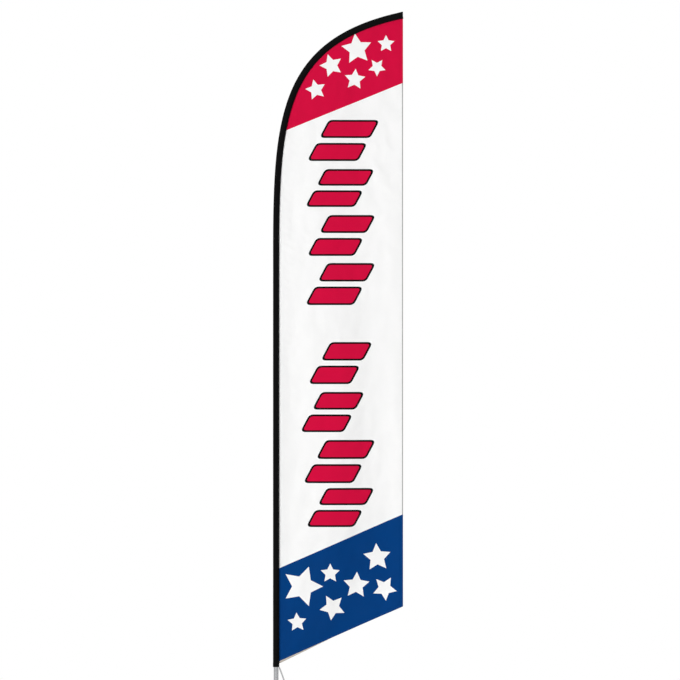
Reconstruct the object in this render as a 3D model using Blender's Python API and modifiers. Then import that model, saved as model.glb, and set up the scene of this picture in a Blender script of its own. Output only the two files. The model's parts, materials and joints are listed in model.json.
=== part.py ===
"""Feather flag on a bent pole, standing on a ground stake with a turning spindle.

Metres, +Z up. The origin is on the pole's axis at ground level. The flag reaches out
towards +X, and its two printed faces look along -Y and +Y.
"""

import math

import bmesh
import bpy
import numpy as np
from mathutils import Matrix, Vector
from mathutils.geometry import interpolate_bezier

# Driving dimensions -------------------------------------------------------------------
GAP = 0.0003  # clearance between neighbouring pieces

# The flag, and the line that its pole follows inside the sleeve
MOUTH_Z = 0.800  # open lower end of the sleeve
FLAG_REACH = 0.679  # pole axis to the free edge
BEND_START_Z = 2.920  # the pole is straight up to here
BEND_LOW_HANDLE_Z = 3.710
BEND_HIGH_HANDLE_Z = 4.145
BEND_END_Z = 4.289
SLEEVE_HALF_WIDTH = 0.0166
SLEEVE_TIP_HALF_WIDTH = 0.0182
SLEEVE_MOUTH_DEPTH = 0.0152  # half of the sleeve's thickness, at its mouth
SLEEVE_BEND_DEPTH = 0.0126
SLEEVE_TIP_DEPTH = 0.0085
SLEEVE_WALL = 0.0008
CORNER_Z = 0.831  # lower edge of the flag at the sleeve
EDGE_SLOPE = 0.443  # rise of the lower edge towards the free edge
HEM = 0.012
CLOTH = 0.0010
HEM_CLOTH = 0.0020
RIPPLE = 0.015
RIPPLE_LENGTH = 0.52
MOUTH_BAND = 0.025  # height of the turned-up band at the sleeve's mouth
POCKET_LENGTH = 0.050
POCKET_WALL = 0.0012

# Pole sections, from the ground up
LOWER_RADIUS = 0.0127
LOWER_WALL = 0.0014
MIDDLE_RADIUS = 0.0110
MIDDLE_WALL = 0.0013
UPPER_RADIUS = 0.0094
UPPER_WALL = 0.0012
LOWER_TOP_Z = 1.200
MIDDLE_TOP_Z = 2.090
UPPER_TOP_Z = 2.900
OVERLAP = 0.100  # how far one section slides into the next
LOCK_DROP = 0.035  # snap button below a section's upper end
BUTTON_RADIUS = 0.0030
BUTTON_REACH = 0.0022  # how far it stands out of the outer tube
BUTTON_DOME = 0.0012
LEAF_GAUGE = 0.0008
LEAF_HEIGHT = 0.030  # the button's leaf spring, above its bend
LEAF_SLACK = 0.00045  # leaf spring to the tube's bore
WHIP_RADIUS = 0.0050
WHIP_TIP_RADIUS = 0.0030
WHIP_END_GAP = 0.030  # rod's end to the sleeve's end, along the rod
WHIP_DEPTH = 0.060  # rod inside the top tube
FERRULE_DEPTH = 0.070
FERRULE_SHOULDER = 0.006
FERRULE_NOSE = 0.012
FERRULE_NOSE_WALL = 0.0022
TIP_CAP_RADIUS = 0.0048
TIP_CAP_LENGTH = 0.018
FOOT_WALL = 0.002
FOOT_FLOOR = 0.003
FOOT_HEIGHT = 0.032

# Ground stake and spindle
STAKE_RADIUS = 0.010
STAKE_DEPTH = 0.450
STAKE_TOP = 0.026
STAKE_POINT = 0.070  # length of the tapered point
STAKE_BLUNT = 0.002  # radius just above its very tip
STAKE_BLUNT_RISE = 0.003
PLATE_LENGTH = 0.130
PLATE_WIDTH = 0.070
PLATE_THICK = 0.005
PLATE_CORNER = 0.012
FIN_REACH = 0.045
FIN_THICK = 0.004
FIN_COUNT = 3
FIN_DEPTH = 0.200
FIN_FULL_DEPTH = 0.110  # full reach down to here
FIN_TOE = 0.006
HOUSING_RADIUS = 0.019
HOUSING_BORE = 0.0145
HOUSING_TOP = 0.062
HOUSING_FLOOR = 0.005
HOUSING_CHAMFER = 0.003
LOWER_BEARING_Z = 0.0400
LOWER_BEARING_HEIGHT = 0.0070
UPPER_BEARING_Z = 0.0535
BEARING_DROP = 0.0005  # upper bearing below the housing's rim
HOUSING_CAP_THICK = 0.004
HOUSING_CAP_SLACK = 0.0007
WASHER_RADIUS = 0.0140
WASHER_THICK = 0.0010
SPINDLE_RADIUS = 0.0080
SPINDLE_FOOT = 0.0335
SPINDLE_TOP = 0.360
SPINDLE_NOSE = 0.006
SPINDLE_CHAMFER = 0.004
SHOULDER_RADIUS = 0.0150
SHOULDER_Z = 0.0682
SHOULDER_THICK = 0.004
CLIP_Z = 0.0378
CLIP_THICK = 0.0016
CLIP_RADIUS = 0.0112
CLIP_GROOVE = 0.0012
CLIP_OPENING = 36  # degrees left open
GRIP_WIRE = 0.0019  # radius of a rubber ring's section
GRIP_HEIGHTS = [0.300, 0.130]
POLE_FOOT_Z = 0.0725

# Tie cord and the collar that it hooks into
CORD_RADIUS = 0.004
COLLAR_Z = 0.405
COLLAR_HEIGHT = 0.030
COLLAR_RADIUS = 0.0178
EYE_X = 0.027
EYE_RADIUS = 0.004
EAR_START = 0.010
EAR_END = 0.0355
EAR_WIDTH = 0.015
EAR_THICK = 0.006
EAR_ROUNDING = 0.002
BOSS_RADIUS = 0.0070
BOSS_REACH = 0.025  # pole axis to the boss's face
BOSS_LENGTH = 0.014
SCREW_RADIUS = 0.0025
KNOB_RADIUS = 0.0090
KNOB_HEIGHT = 0.0080
KNOB_ROUNDING = 0.0015
HOOK_WIRE = 0.0017
HOOK_BEND = 0.0065
HOOK_TIP = 0.009  # above the collar's middle
CRIMP_RADIUS = 0.0053
CRIMP_LOW = COLLAR_Z + 0.066
CRIMP_TOP = CRIMP_LOW + 0.025
CRIMP_SOCKET = 0.014
CORD_SPACING = 0.009
CORD_ROUTE = [
    (0.0172, 0.000, 0.7972),
    (0.0242, -0.0005, 0.7785),
    (0.0316, -0.002, 0.7587),
    (0.0389, -0.004, 0.7389),
    (0.0457, -0.006, 0.7175),
    (0.0512, -0.008, 0.6940),
    (0.0548, -0.0095, 0.6690),
    (0.0562, -0.010, 0.6430),
    (0.0548, -0.0095, 0.6170),
    (0.0505, -0.008, 0.5910),
    (0.0440, -0.006, 0.5670),
    (0.0370, -0.0035, 0.5455),
    (0.0310, -0.0015, 0.5250),
    (0.0278, -0.0003, 0.5090),
    (EYE_X, 0.000, CRIMP_TOP + GAP),
]


# Collections and materials ------------------------------------------------------------
for old in list(bpy.data.objects):
    bpy.data.objects.remove(old, do_unlink=True)
parts = bpy.data.collections.new("feather_flag")
cutters = bpy.data.collections.new("cutters")
bpy.context.scene.collection.children.link(parts)
bpy.context.scene.collection.children.link(cutters)


def material(name, colour, roughness, metallic=0.0):
    made = bpy.data.materials.new(name)
    made.use_nodes = True
    shader = made.node_tree.nodes["Principled BSDF"]
    shader.inputs["Base Color"].default_value = (*colour, 1.0)
    shader.inputs["Roughness"].default_value = roughness
    shader.inputs["Metallic"].default_value = metallic
    return made


PRINTED = material("printed_polyester", (0.85, 0.85, 0.86), 0.8)
HEMMED = material("white_hem", (0.80, 0.80, 0.79), 0.8)
SLEEVING = material("black_sleeve_cloth", (0.010, 0.010, 0.011), 0.85)
CORDING = material("grey_elastic_cord", (0.50, 0.50, 0.50), 0.7)
ALUMINIUM = material("aluminium_tube", (0.80, 0.81, 0.82), 0.35, 1.0)
FIBREGLASS = material("white_fibreglass", (0.78, 0.78, 0.74), 0.4)
BLACK_PLASTIC = material("black_plastic", (0.02, 0.02, 0.022), 0.5)
WHITE_PLASTIC = material("white_plastic", (0.80, 0.80, 0.78), 0.45)
STEEL = material("zinc_plated_steel", (0.62, 0.63, 0.65), 0.35, 1.0)
SPRING_STEEL = material("spring_steel", (0.45, 0.45, 0.47), 0.3, 1.0)
PAINTED = material("black_painted_steel", (0.02, 0.02, 0.02), 0.45)
RUBBER = material("black_rubber", (0.03, 0.03, 0.03), 0.9)


# Modelling helpers --------------------------------------------------------------------
def place(mesh_or_curve, name, finish, at=(0, 0, 0), turn=None):
    """A new part from its data, moved to its origin and turned about it."""
    made = bpy.data.objects.new(name, mesh_or_curve)
    parts.objects.link(made)
    made.data.materials.append(finish)
    made.location = at
    if turn is not None:
        made.rotation_euler = turn.to_euler()
    return made


def shade(mesh):
    mesh.shade_smooth()
    mesh.set_sharp_from_angle(angle=math.radians(35))


def turned(name, profile, finish, at=(0, 0, 0), turn=None, hollow=False, sides=32):
    """A round piece: (radius, height) points down its outer side, spun about Z."""
    mesh = bpy.data.meshes.new(name)
    count = len(profile)
    edges = [(i, i + 1) for i in range(count - 1)]
    if hollow:
        edges.append((count - 1, 0))
    mesh.from_pydata([(r, 0, z) for r, z in profile], edges, [])
    made = place(mesh, name, finish, at, turn)
    spin = made.modifiers.new("Spin", "SCREW")
    spin.steps = sides
    spin.render_steps = sides
    spin.use_merge_vertices = True
    spin.merge_threshold = 0.00001
    spin.use_smooth_shade = True
    return made


def ring(name, inner, outer, low, high, finish, **kwargs):
    profile = [(inner, high), (outer, high), (outer, low), (inner, low)]
    return turned(name, profile, finish, hollow=True, **kwargs)


def flat(name, outline, thickness, finish, at=(0, 0, 0), turn=None):
    """A plate from a closed outline in X and Y, centred on its thickness."""
    curve = bpy.data.curves.new(name, "CURVE")
    curve.dimensions = "2D"
    curve.fill_mode = "BOTH"
    curve.extrude = thickness / 2
    curve.resolution_u = 1
    spline = curve.splines.new("POLY")
    spline.points.add(len(outline) - 1)
    for point, (x, y) in zip(spline.points, outline):
        point.co = (x, y, 0, 1)
    spline.use_cyclic_u = True
    return place(curve, name, finish, at, turn)


def as_mesh(curve_object):
    """The same piece as a mesh with welded caps, ready to be cut."""
    bpy.context.view_layer.update()
    evaluated = curve_object.evaluated_get(bpy.context.evaluated_depsgraph_get())
    mesh = bpy.data.meshes.new_from_object(evaluated)
    shape = bmesh.new()
    shape.from_mesh(mesh)
    bmesh.ops.remove_doubles(shape, verts=shape.verts, dist=0.000001)
    shape.to_mesh(mesh)
    shape.free()
    name = curve_object.name
    where = curve_object.matrix_world.copy()
    bpy.data.objects.remove(curve_object, do_unlink=True)
    made = bpy.data.objects.new(name, mesh)
    parts.objects.link(made)
    made.matrix_world = where
    return made


def wire(name, points, radii, finish, resolution):
    """A rod or cord along its points, with a radius at each of them."""
    curve = bpy.data.curves.new(name, "CURVE")
    curve.dimensions = "3D"
    curve.bevel_depth = 1.0
    curve.bevel_resolution = resolution
    curve.use_fill_caps = True
    spline = curve.splines.new("POLY")
    spline.points.add(len(points) - 1)
    for point, co, radius in zip(spline.points, points, radii):
        point.co = (*co, 1)
        point.radius = radius
    return place(curve, name, finish)


def boolean(body, tool, operation):
    """Joins or cuts body with tool, which is kept as a hidden guide."""
    for collection in list(tool.users_collection):
        collection.objects.unlink(tool)
    cutters.objects.link(tool)
    tool.hide_render = True
    tool.display_type = "WIRE"
    step = body.modifiers.new(operation.title(), "BOOLEAN")
    step.operation = operation
    step.solver = "EXACT"
    step.object = tool


def cylinder(name, radius, length, at, axis, sides=32, finish=BLACK_PLASTIC):
    mesh = bpy.data.meshes.new(name)
    shape = bmesh.new()
    bmesh.ops.create_cone(
        shape, cap_ends=True, segments=sides, radius1=radius, radius2=radius, depth=length
    )
    shape.to_mesh(mesh)
    shape.free()
    shade(mesh)
    turn = Vector(axis).to_track_quat("Z", "Y")
    return place(mesh, name, finish, at, turn)


def block(name, size, at, finish, bevel=0.0):
    mesh = bpy.data.meshes.new(name)
    shape = bmesh.new()
    bmesh.ops.create_cube(shape, size=1.0)
    bmesh.ops.scale(shape, vec=size, verts=shape.verts)
    shape.to_mesh(mesh)
    shape.free()
    made = place(mesh, name, finish, at)
    if bevel:
        rounding = made.modifiers.new("Rounding", "BEVEL")
        rounding.width = bevel
        rounding.segments = 3
    return made


def arc(centre, radius, start, end, steps):
    """Points on an arc, in degrees, both ends included."""
    turns = [math.radians(start + (end - start) * i / steps) for i in range(steps + 1)]
    return [(centre[0] + radius * math.cos(a), centre[1] + radius * math.sin(a)) for a in turns]


def rounded_rectangle(length, width, corner, steps=4):
    points = []
    for quarter, (sx, sy) in enumerate([(1, 1), (-1, 1), (-1, -1), (1, -1)]):
        centre = (sx * (length / 2 - corner), sy * (width / 2 - corner))
        points += arc(centre, corner, 90 * quarter, 90 * quarter + 90, steps)
    return points


def smooth_path(points, spacing):
    """Points a fixed distance apart on a smooth curve through the given ones."""
    p = np.array([2 * np.array(points[0]) - points[1], *points, 2 * np.array(points[-1]) - points[-2]])
    dense = []
    for a, b, c, d in zip(p, p[1:], p[2:], p[3:]):
        for t in np.linspace(0, 1, 20, endpoint=False):
            dense.append(
                b + 0.5 * t * (c - a + t * (2 * a - 5 * b + 4 * c - d + t * (3 * (b - c) + d - a)))
            )
    dense = np.array([*dense, p[-2]])
    run = np.concatenate([[0], np.cumsum(np.linalg.norm(np.diff(dense, axis=0), axis=1))])
    marks = np.linspace(0, run[-1], round(run[-1] / spacing) + 1)
    return [tuple(np.interp(m, run, dense[:, k]) for k in range(3)) for m in marks]


# The pole's line ----------------------------------------------------------------------
bend = interpolate_bezier(
    Vector((0, 0, BEND_START_Z)),
    Vector((0, 0, BEND_LOW_HANDLE_Z)),
    Vector((0, 0, BEND_HIGH_HANDLE_Z)),
    Vector((FLAG_REACH, 0, BEND_END_Z)),
    400,
)
bend_x = np.array([p.x for p in bend])
bend_z = np.array([p.z for p in bend])
bend_run = np.concatenate([[0], np.cumsum(np.hypot(np.diff(bend_x), np.diff(bend_z)))])
LINE_END = BEND_START_Z + bend_run[-1]  # length of the line from the ground to its end


def on_line(run):
    """The point at this distance along the pole's line from the ground."""
    if run <= BEND_START_Z:
        return Vector((0, 0, run))
    past = run - BEND_START_Z
    return Vector((np.interp(past, bend_run, bend_x), 0, np.interp(past, bend_run, bend_z)))


def along_line(run):
    """The line's direction there, and the direction square to it on the flag's side."""
    step = 0.001
    ahead = on_line(min(run + step, LINE_END)) - on_line(min(run, LINE_END - step))
    ahead.normalize()
    return ahead, Vector((ahead.z, 0, -ahead.x))


def bend_share(run):
    return max(0.0, (run - BEND_START_Z) / (LINE_END - BEND_START_Z))


def half_width(run):
    return SLEEVE_HALF_WIDTH + (SLEEVE_TIP_HALF_WIDTH - SLEEVE_HALF_WIDTH) * bend_share(run)


def half_depth(run):
    stops = [MOUTH_Z, BEND_START_Z, LINE_END]
    return np.interp(run, stops, [SLEEVE_MOUTH_DEPTH, SLEEVE_BEND_DEPTH, SLEEVE_TIP_DEPTH])


def edge_point(run, extra):
    """The sleeve's inner edge, this much further out. The last one is cut upright."""
    ahead, inward = along_line(run)
    reach = half_width(run) + extra
    if run >= LINE_END:
        return on_line(run) + Vector((0, 0, -reach / ahead.x))
    return on_line(run) + inward * reach


STRAIGHT_RINGS = [float(v) for v in np.linspace(MOUTH_Z, BEND_START_Z, 7)[:-1]]
BEND_RINGS = [float(v) for v in np.linspace(BEND_START_Z, LINE_END, 29)]


# Cloth pieces -------------------------------------------------------------------------
def sleeve_tube(name, stations, inset, wall, finish, closed_end=False, sides=16):
    """An elliptical tube of cloth along the pole's line."""
    shape = bmesh.new()
    rows = []
    for run in stations:
        ahead, inward = along_line(run)
        if run >= LINE_END:
            inward = Vector((0, 0, -1 / ahead.x))
        wide = inward * (half_width(run) - inset)
        deep = Vector((0, half_depth(run) - inset, 0))
        turns = [2 * math.pi * i / sides for i in range(sides)]
        centre = on_line(run)
        rows.append(
            [shape.verts.new(centre + math.cos(a) * wide + math.sin(a) * deep) for a in turns]
        )
    for low, high in zip(rows, rows[1:]):
        for i in range(sides):
            k = (i + 1) % sides
            shape.faces.new((low[i], low[k], high[k], high[i]))
    if closed_end:
        shape.faces.new(rows[-1])
    mesh = bpy.data.meshes.new(name)
    shape.to_mesh(mesh)
    shape.free()
    shade(mesh)
    made = place(mesh, name, finish)
    shell = made.modifiers.new("Cloth", "SOLIDIFY")
    shell.thickness = wall
    shell.offset = -1.0
    shell.use_even_offset = True
    return made


seam = [edge_point(run, GAP) for run in [CORNER_Z, *BEND_RINGS]]
seam_x = np.array([p.x for p in seam])
seam_z = np.array([p.z for p in seam])


def lower_edge(x):
    return CORNER_Z + (x - seam_x[0]) * EDGE_SLOPE


def drape(x, z):
    """How far the cloth stands out of its plane: still at the sleeve, rippled below it."""
    beside = max(x - SLEEVE_HALF_WIDTH, 0.0)
    below = max(float(np.interp(x, seam_x[1:], seam_z[1:])) - z, 0.0)
    free = beside * below / (math.hypot(beside, below) + 1e-6)
    calm = 1.0 - math.exp(-((free / 0.30) ** 2))
    return RIPPLE * calm * math.sin(2 * math.pi * x / RIPPLE_LENGTH + 0.9 * z)


def cloth(name, outline, thickness, finish, cell=(0.085, 0.14)):
    """A hanging sheet from its flat outline, in X and Z, cut into cells and rippled."""
    shape = bmesh.new()
    shape.faces.new([shape.verts.new((x, 0, z)) for x, z in outline])
    for axis, step in zip((0, 2), cell):
        values = [v.co[axis] for v in shape.verts]
        normal = Vector((1, 0, 0)) if axis == 0 else Vector((0, 0, 1))
        for k in range(math.floor(min(values) / step) + 1, math.ceil(max(values) / step)):
            bmesh.ops.bisect_plane(
                shape,
                geom=[*shape.verts, *shape.edges, *shape.faces],
                plane_co=normal * step * k,
                plane_no=normal,
                dist=0.0005,
            )
    bmesh.ops.triangulate(shape, faces=shape.faces)
    for vert in shape.verts:
        vert.co.y = drape(vert.co.x, vert.co.z)
    mesh = bpy.data.meshes.new(name)
    shape.to_mesh(mesh)
    shape.free()
    shade(mesh)
    made = place(mesh, name, finish)
    sheet = made.modifiers.new("Cloth", "SOLIDIFY")
    sheet.thickness = thickness
    sheet.offset = 0.0
    return made


def flag():
    hem_x = FLAG_REACH - HEM
    hem_rise = HEM * math.hypot(1, EDGE_SLOPE)
    top = [(p.x, p.z) for p in seam if p.x < hem_x]
    rise = float(np.interp(hem_x, seam_x[1:], seam_z[1:]))
    panel = [
        (seam_x[0], lower_edge(seam_x[0]) + hem_rise),
        (hem_x, lower_edge(hem_x) + hem_rise),
        (hem_x, rise),
        *reversed(top[1:]),
    ]
    cloth("flag_panel", panel, CLOTH, PRINTED)
    low = hem_rise - GAP
    right = hem_x - GAP
    corners = [(seam_x[0], 0), (right, 0), (right, low), (seam_x[0], low)]
    lower = [(x, lower_edge(x) + up) for x, up in corners]
    cloth("bottom_hem", lower, HEM_CLOTH, HEMMED)
    inner = hem_x + GAP
    free_edge = [
        (inner, lower_edge(inner)),
        (FLAG_REACH, lower_edge(FLAG_REACH)),
        (FLAG_REACH, seam_z[-1]),
        (inner, float(np.interp(inner, seam_x[1:], seam_z[1:]))),
    ]
    cloth("fly_hem", free_edge, HEM_CLOTH, HEMMED)


def sleeve():
    sleeve_tube("pole_sleeve", [*STRAIGHT_RINGS, *BEND_RINGS], 0.0, SLEEVE_WALL, SLEEVING)
    band = [MOUTH_Z, MOUTH_Z + MOUTH_BAND]
    sleeve_tube("sleeve_mouth_binding", band, -GAP - SLEEVE_WALL, SLEEVE_WALL, SLEEVING)
    pocket = [float(v) for v in np.linspace(LINE_END - POCKET_LENGTH, LINE_END, 4)]
    inset = SLEEVE_WALL + 2 * GAP
    sleeve_tube("tip_pocket", pocket, inset, POCKET_WALL, SLEEVING, closed_end=True)


# Pole ---------------------------------------------------------------------------------
def tubes():
    sections = [
        ("pole_lower", LOWER_RADIUS, LOWER_WALL, POLE_FOOT_Z + FOOT_FLOOR + GAP, LOWER_TOP_Z),
        ("pole_middle", MIDDLE_RADIUS, MIDDLE_WALL, LOWER_TOP_Z - OVERLAP, MIDDLE_TOP_Z),
        ("pole_upper", UPPER_RADIUS, UPPER_WALL, MIDDLE_TOP_Z - OVERLAP, UPPER_TOP_Z),
    ]
    made = []
    for name, radius, wall, low, high in sections:
        made.append(ring(name, radius - wall, radius, low, high, ALUMINIUM))
    return made


def snap_lock(index, outer, inner, top, outer_radius, bore, strip):
    """A spring button through two tubes, on the inner one's U-shaped leaf spring."""
    z = top - LOCK_DROP
    through = 0.016
    for tube in (outer, inner):
        name = f"lock_hole_{index}_{tube.name}"
        at = (-outer_radius, 0, z)
        cut = cylinder(name, BUTTON_RADIUS + GAP, through, at, (1, 0, 0), sides=24)
        boolean(tube, cut, "DIFFERENCE")
    leaf = math.sqrt(bore**2 - (strip / 2) ** 2) - LEAF_SLACK
    stem = outer_radius + BUTTON_REACH - leaf - GAP
    profile = [
        (0, stem),
        (0.5 * BUTTON_RADIUS, stem - 0.2 * BUTTON_DOME),
        (0.8 * BUTTON_RADIUS, stem - 0.5 * BUTTON_DOME),
        (BUTTON_RADIUS, stem - BUTTON_DOME),
        (BUTTON_RADIUS, 0),
        (0, 0),
    ]
    facing = Vector((-1, 0, 0)).to_track_quat("Z", "Y")
    start = (-leaf - GAP, 0, z)
    turned(f"snap_button_{index}", profile, STEEL, at=start, turn=facing, sides=24)
    far = leaf * 0.42  # the back leg's place, as a share of the front one's
    short = LEAF_HEIGHT * 0.8
    middle = (far - leaf) / 2
    big = (far + leaf) / 2
    outline = [
        (-leaf, LEAF_HEIGHT),
        *arc((middle, 0), big, 180, 360, 10),
        (far, short),
        (far - LEAF_GAUGE, short),
        *arc((middle, 0), big - LEAF_GAUGE, 360, 180, 10),
        (-leaf + LEAF_GAUGE, LEAF_HEIGHT),
    ]
    upright = Matrix.Rotation(math.radians(90), 3, "X")
    past_button = 0.005
    at = (0, 0, z - LEAF_HEIGHT + past_button)
    flat(f"button_spring_{index}", outline, strip, SPRING_STEEL, at=at, turn=upright)


def whip():
    """The fibreglass whip, its reducing ferrule and its rounded tip."""
    low = UPPER_TOP_Z - WHIP_DEPTH
    bore = WHIP_RADIUS + GAP
    plug = UPPER_RADIUS - UPPER_WALL - GAP
    lip = UPPER_TOP_Z + GAP
    foot = UPPER_TOP_Z - FERRULE_DEPTH
    ferrule = [
        (bore, lip + FERRULE_NOSE),
        (WHIP_RADIUS + FERRULE_NOSE_WALL, lip + FERRULE_NOSE),
        (UPPER_RADIUS, lip + FERRULE_SHOULDER),
        (UPPER_RADIUS, lip),
        (plug, lip),
        (plug, foot),
        (bore, foot),
    ]
    turned("whip_ferrule", ferrule, BLACK_PLASTIC, hollow=True)
    end = LINE_END - WHIP_END_GAP
    bend_runs = np.linspace(BEND_START_Z, end, 45)
    runs = [low, UPPER_TOP_Z, *[float(v) for v in bend_runs]]
    radii = [np.interp(r, [low, end], [WHIP_RADIUS, WHIP_TIP_RADIUS]) for r in runs]
    wire("whip_rod", [on_line(r) for r in runs], radii, FIBREGLASS, 3)
    hold = WHIP_TIP_RADIUS + GAP
    dome = [
        (TIP_CAP_RADIUS * math.sin(a), GAP + 0.002 + TIP_CAP_RADIUS * math.cos(a))
        for a in np.linspace(0, 1.5, 6)
    ]
    cap = [*dome, (TIP_CAP_RADIUS, -TIP_CAP_LENGTH), (hold, -TIP_CAP_LENGTH), (hold, GAP), (0, GAP)]
    ahead, _ = along_line(end)
    turned("whip_tip_cap", cap, RUBBER, at=on_line(end), turn=ahead.to_track_quat("Z", "Y"), sides=24)


def foot_cap():
    outer = LOWER_RADIUS + FOOT_WALL
    bore = LOWER_RADIUS - LOWER_WALL
    seat = POLE_FOOT_Z + FOOT_FLOOR
    profile = [
        (LOWER_RADIUS + GAP, POLE_FOOT_Z + FOOT_HEIGHT),
        (outer, POLE_FOOT_Z + FOOT_HEIGHT),
        (outer, POLE_FOOT_Z),
        (bore, POLE_FOOT_Z),
        (bore, seat),
        (LOWER_RADIUS + GAP, seat),
    ]
    turned("pole_foot_cap", profile, BLACK_PLASTIC, hollow=True)


# Ground stake and spindle -------------------------------------------------------------
def stake():
    profile = [
        (0, STAKE_TOP),
        (STAKE_RADIUS, STAKE_TOP),
        (STAKE_RADIUS, STAKE_POINT - STAKE_DEPTH),
        (STAKE_BLUNT, STAKE_BLUNT_RISE - STAKE_DEPTH),
        (0, -STAKE_DEPTH),
    ]
    turned("stake_shaft", profile, PAINTED)
    outline = rounded_rectangle(PLATE_LENGTH, PLATE_WIDTH, PLATE_CORNER)
    blank = flat("step_plate", outline, PLATE_THICK, PAINTED, at=(0, 0, PLATE_THICK / 2))
    plate = as_mesh(blank)
    hole = cylinder("stake_hole", STAKE_RADIUS + GAP, 4 * PLATE_THICK, (0, 0, 0), (0, 0, 1))
    boolean(plate, hole, "DIFFERENCE")
    inner = STAKE_RADIUS + GAP
    top = -GAP
    fin = [
        (inner, top),
        (FIN_REACH, top),
        (FIN_REACH, -FIN_FULL_DEPTH),
        (inner + FIN_TOE, -FIN_DEPTH),
        (inner, -FIN_DEPTH),
    ]
    for k in range(FIN_COUNT):
        around = Matrix.Rotation(2 * math.pi * k / FIN_COUNT + math.pi / 2, 3, "Z")
        upright = Matrix.Rotation(math.pi / 2, 3, "X")
        flat(f"stake_fin_{k + 1}", fin, FIN_THICK, PAINTED, turn=around @ upright)


def bearing():
    floor = STAKE_TOP + GAP
    cup = [
        (0, floor + HOUSING_FLOOR),
        (HOUSING_BORE, floor + HOUSING_FLOOR),
        (HOUSING_BORE, HOUSING_TOP),
        (HOUSING_RADIUS, HOUSING_TOP),
        (HOUSING_RADIUS, floor + HOUSING_CHAMFER),
        (HOUSING_RADIUS - HOUSING_CHAMFER, floor),
        (0, floor),
    ]
    turned("bearing_housing", cup, PAINTED)
    shaft = SPINDLE_RADIUS + GAP
    race = HOUSING_BORE - GAP
    lower_top = LOWER_BEARING_Z + LOWER_BEARING_HEIGHT
    ring("lower_bearing", shaft, race, LOWER_BEARING_Z, lower_top, WHITE_PLASTIC)
    ring("upper_bearing", shaft, race, UPPER_BEARING_Z, HOUSING_TOP - BEARING_DROP, WHITE_PLASTIC)
    cap_low = HOUSING_TOP + GAP
    cap_top = cap_low + HOUSING_CAP_THICK
    ring("housing_cap", shaft + HOUSING_CAP_SLACK, HOUSING_RADIUS, cap_low, cap_top, PAINTED)
    washer_top = SHOULDER_Z - GAP
    washer_low = washer_top - WASHER_THICK
    ring("thrust_washer", shaft, WASHER_RADIUS, washer_low, washer_top, WHITE_PLASTIC)


def spindle():
    shoulder_top = SHOULDER_Z + SHOULDER_THICK
    grip_centre = LOWER_RADIUS - LOWER_WALL - GAP - GRIP_WIRE
    groove = grip_centre - GRIP_WIRE - GAP
    half = GRIP_WIRE + GAP
    profile = [
        (0, SPINDLE_TOP),
        (SPINDLE_NOSE, SPINDLE_TOP),
        (SPINDLE_RADIUS, SPINDLE_TOP - SPINDLE_CHAMFER),
    ]
    for z in GRIP_HEIGHTS:
        profile += [
            (SPINDLE_RADIUS, z + half),
            (groove, z + half),
            (groove, z - half),
            (SPINDLE_RADIUS, z - half),
        ]
    clip_half = CLIP_THICK / 2
    clip_groove = SPINDLE_RADIUS - CLIP_GROOVE
    profile += [
        (SPINDLE_RADIUS, shoulder_top),
        (SHOULDER_RADIUS, shoulder_top),
        (SHOULDER_RADIUS, SHOULDER_Z),
        (SPINDLE_RADIUS, SHOULDER_Z),
        (SPINDLE_RADIUS, CLIP_Z + clip_half + GAP),
        (clip_groove, CLIP_Z + clip_half + GAP),
        (clip_groove, CLIP_Z - clip_half - GAP),
        (SPINDLE_RADIUS, CLIP_Z - clip_half - GAP),
        (SPINDLE_RADIUS, SPINDLE_FOOT),
        (0, SPINDLE_FOOT),
    ]
    turned("spindle", profile, STEEL)
    start, end = CLIP_OPENING / 2, 360 - CLIP_OPENING / 2
    clip = arc((0, 0), CLIP_RADIUS, start, end, 28)
    clip += arc((0, 0), clip_groove + GAP, end, start, 28)
    flat("retaining_clip", clip, CLIP_THICK, SPRING_STEEL, at=(0, 0, CLIP_Z))
    for k, z in enumerate(reversed(GRIP_HEIGHTS)):
        turns = [2 * math.pi * i / 12 for i in range(12)]
        tyre = [(grip_centre + GRIP_WIRE * math.cos(a), -GRIP_WIRE * math.sin(a)) for a in turns]
        turned(f"grip_ring_{k + 1}", tyre, RUBBER, at=(0, 0, z), hollow=True)


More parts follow.
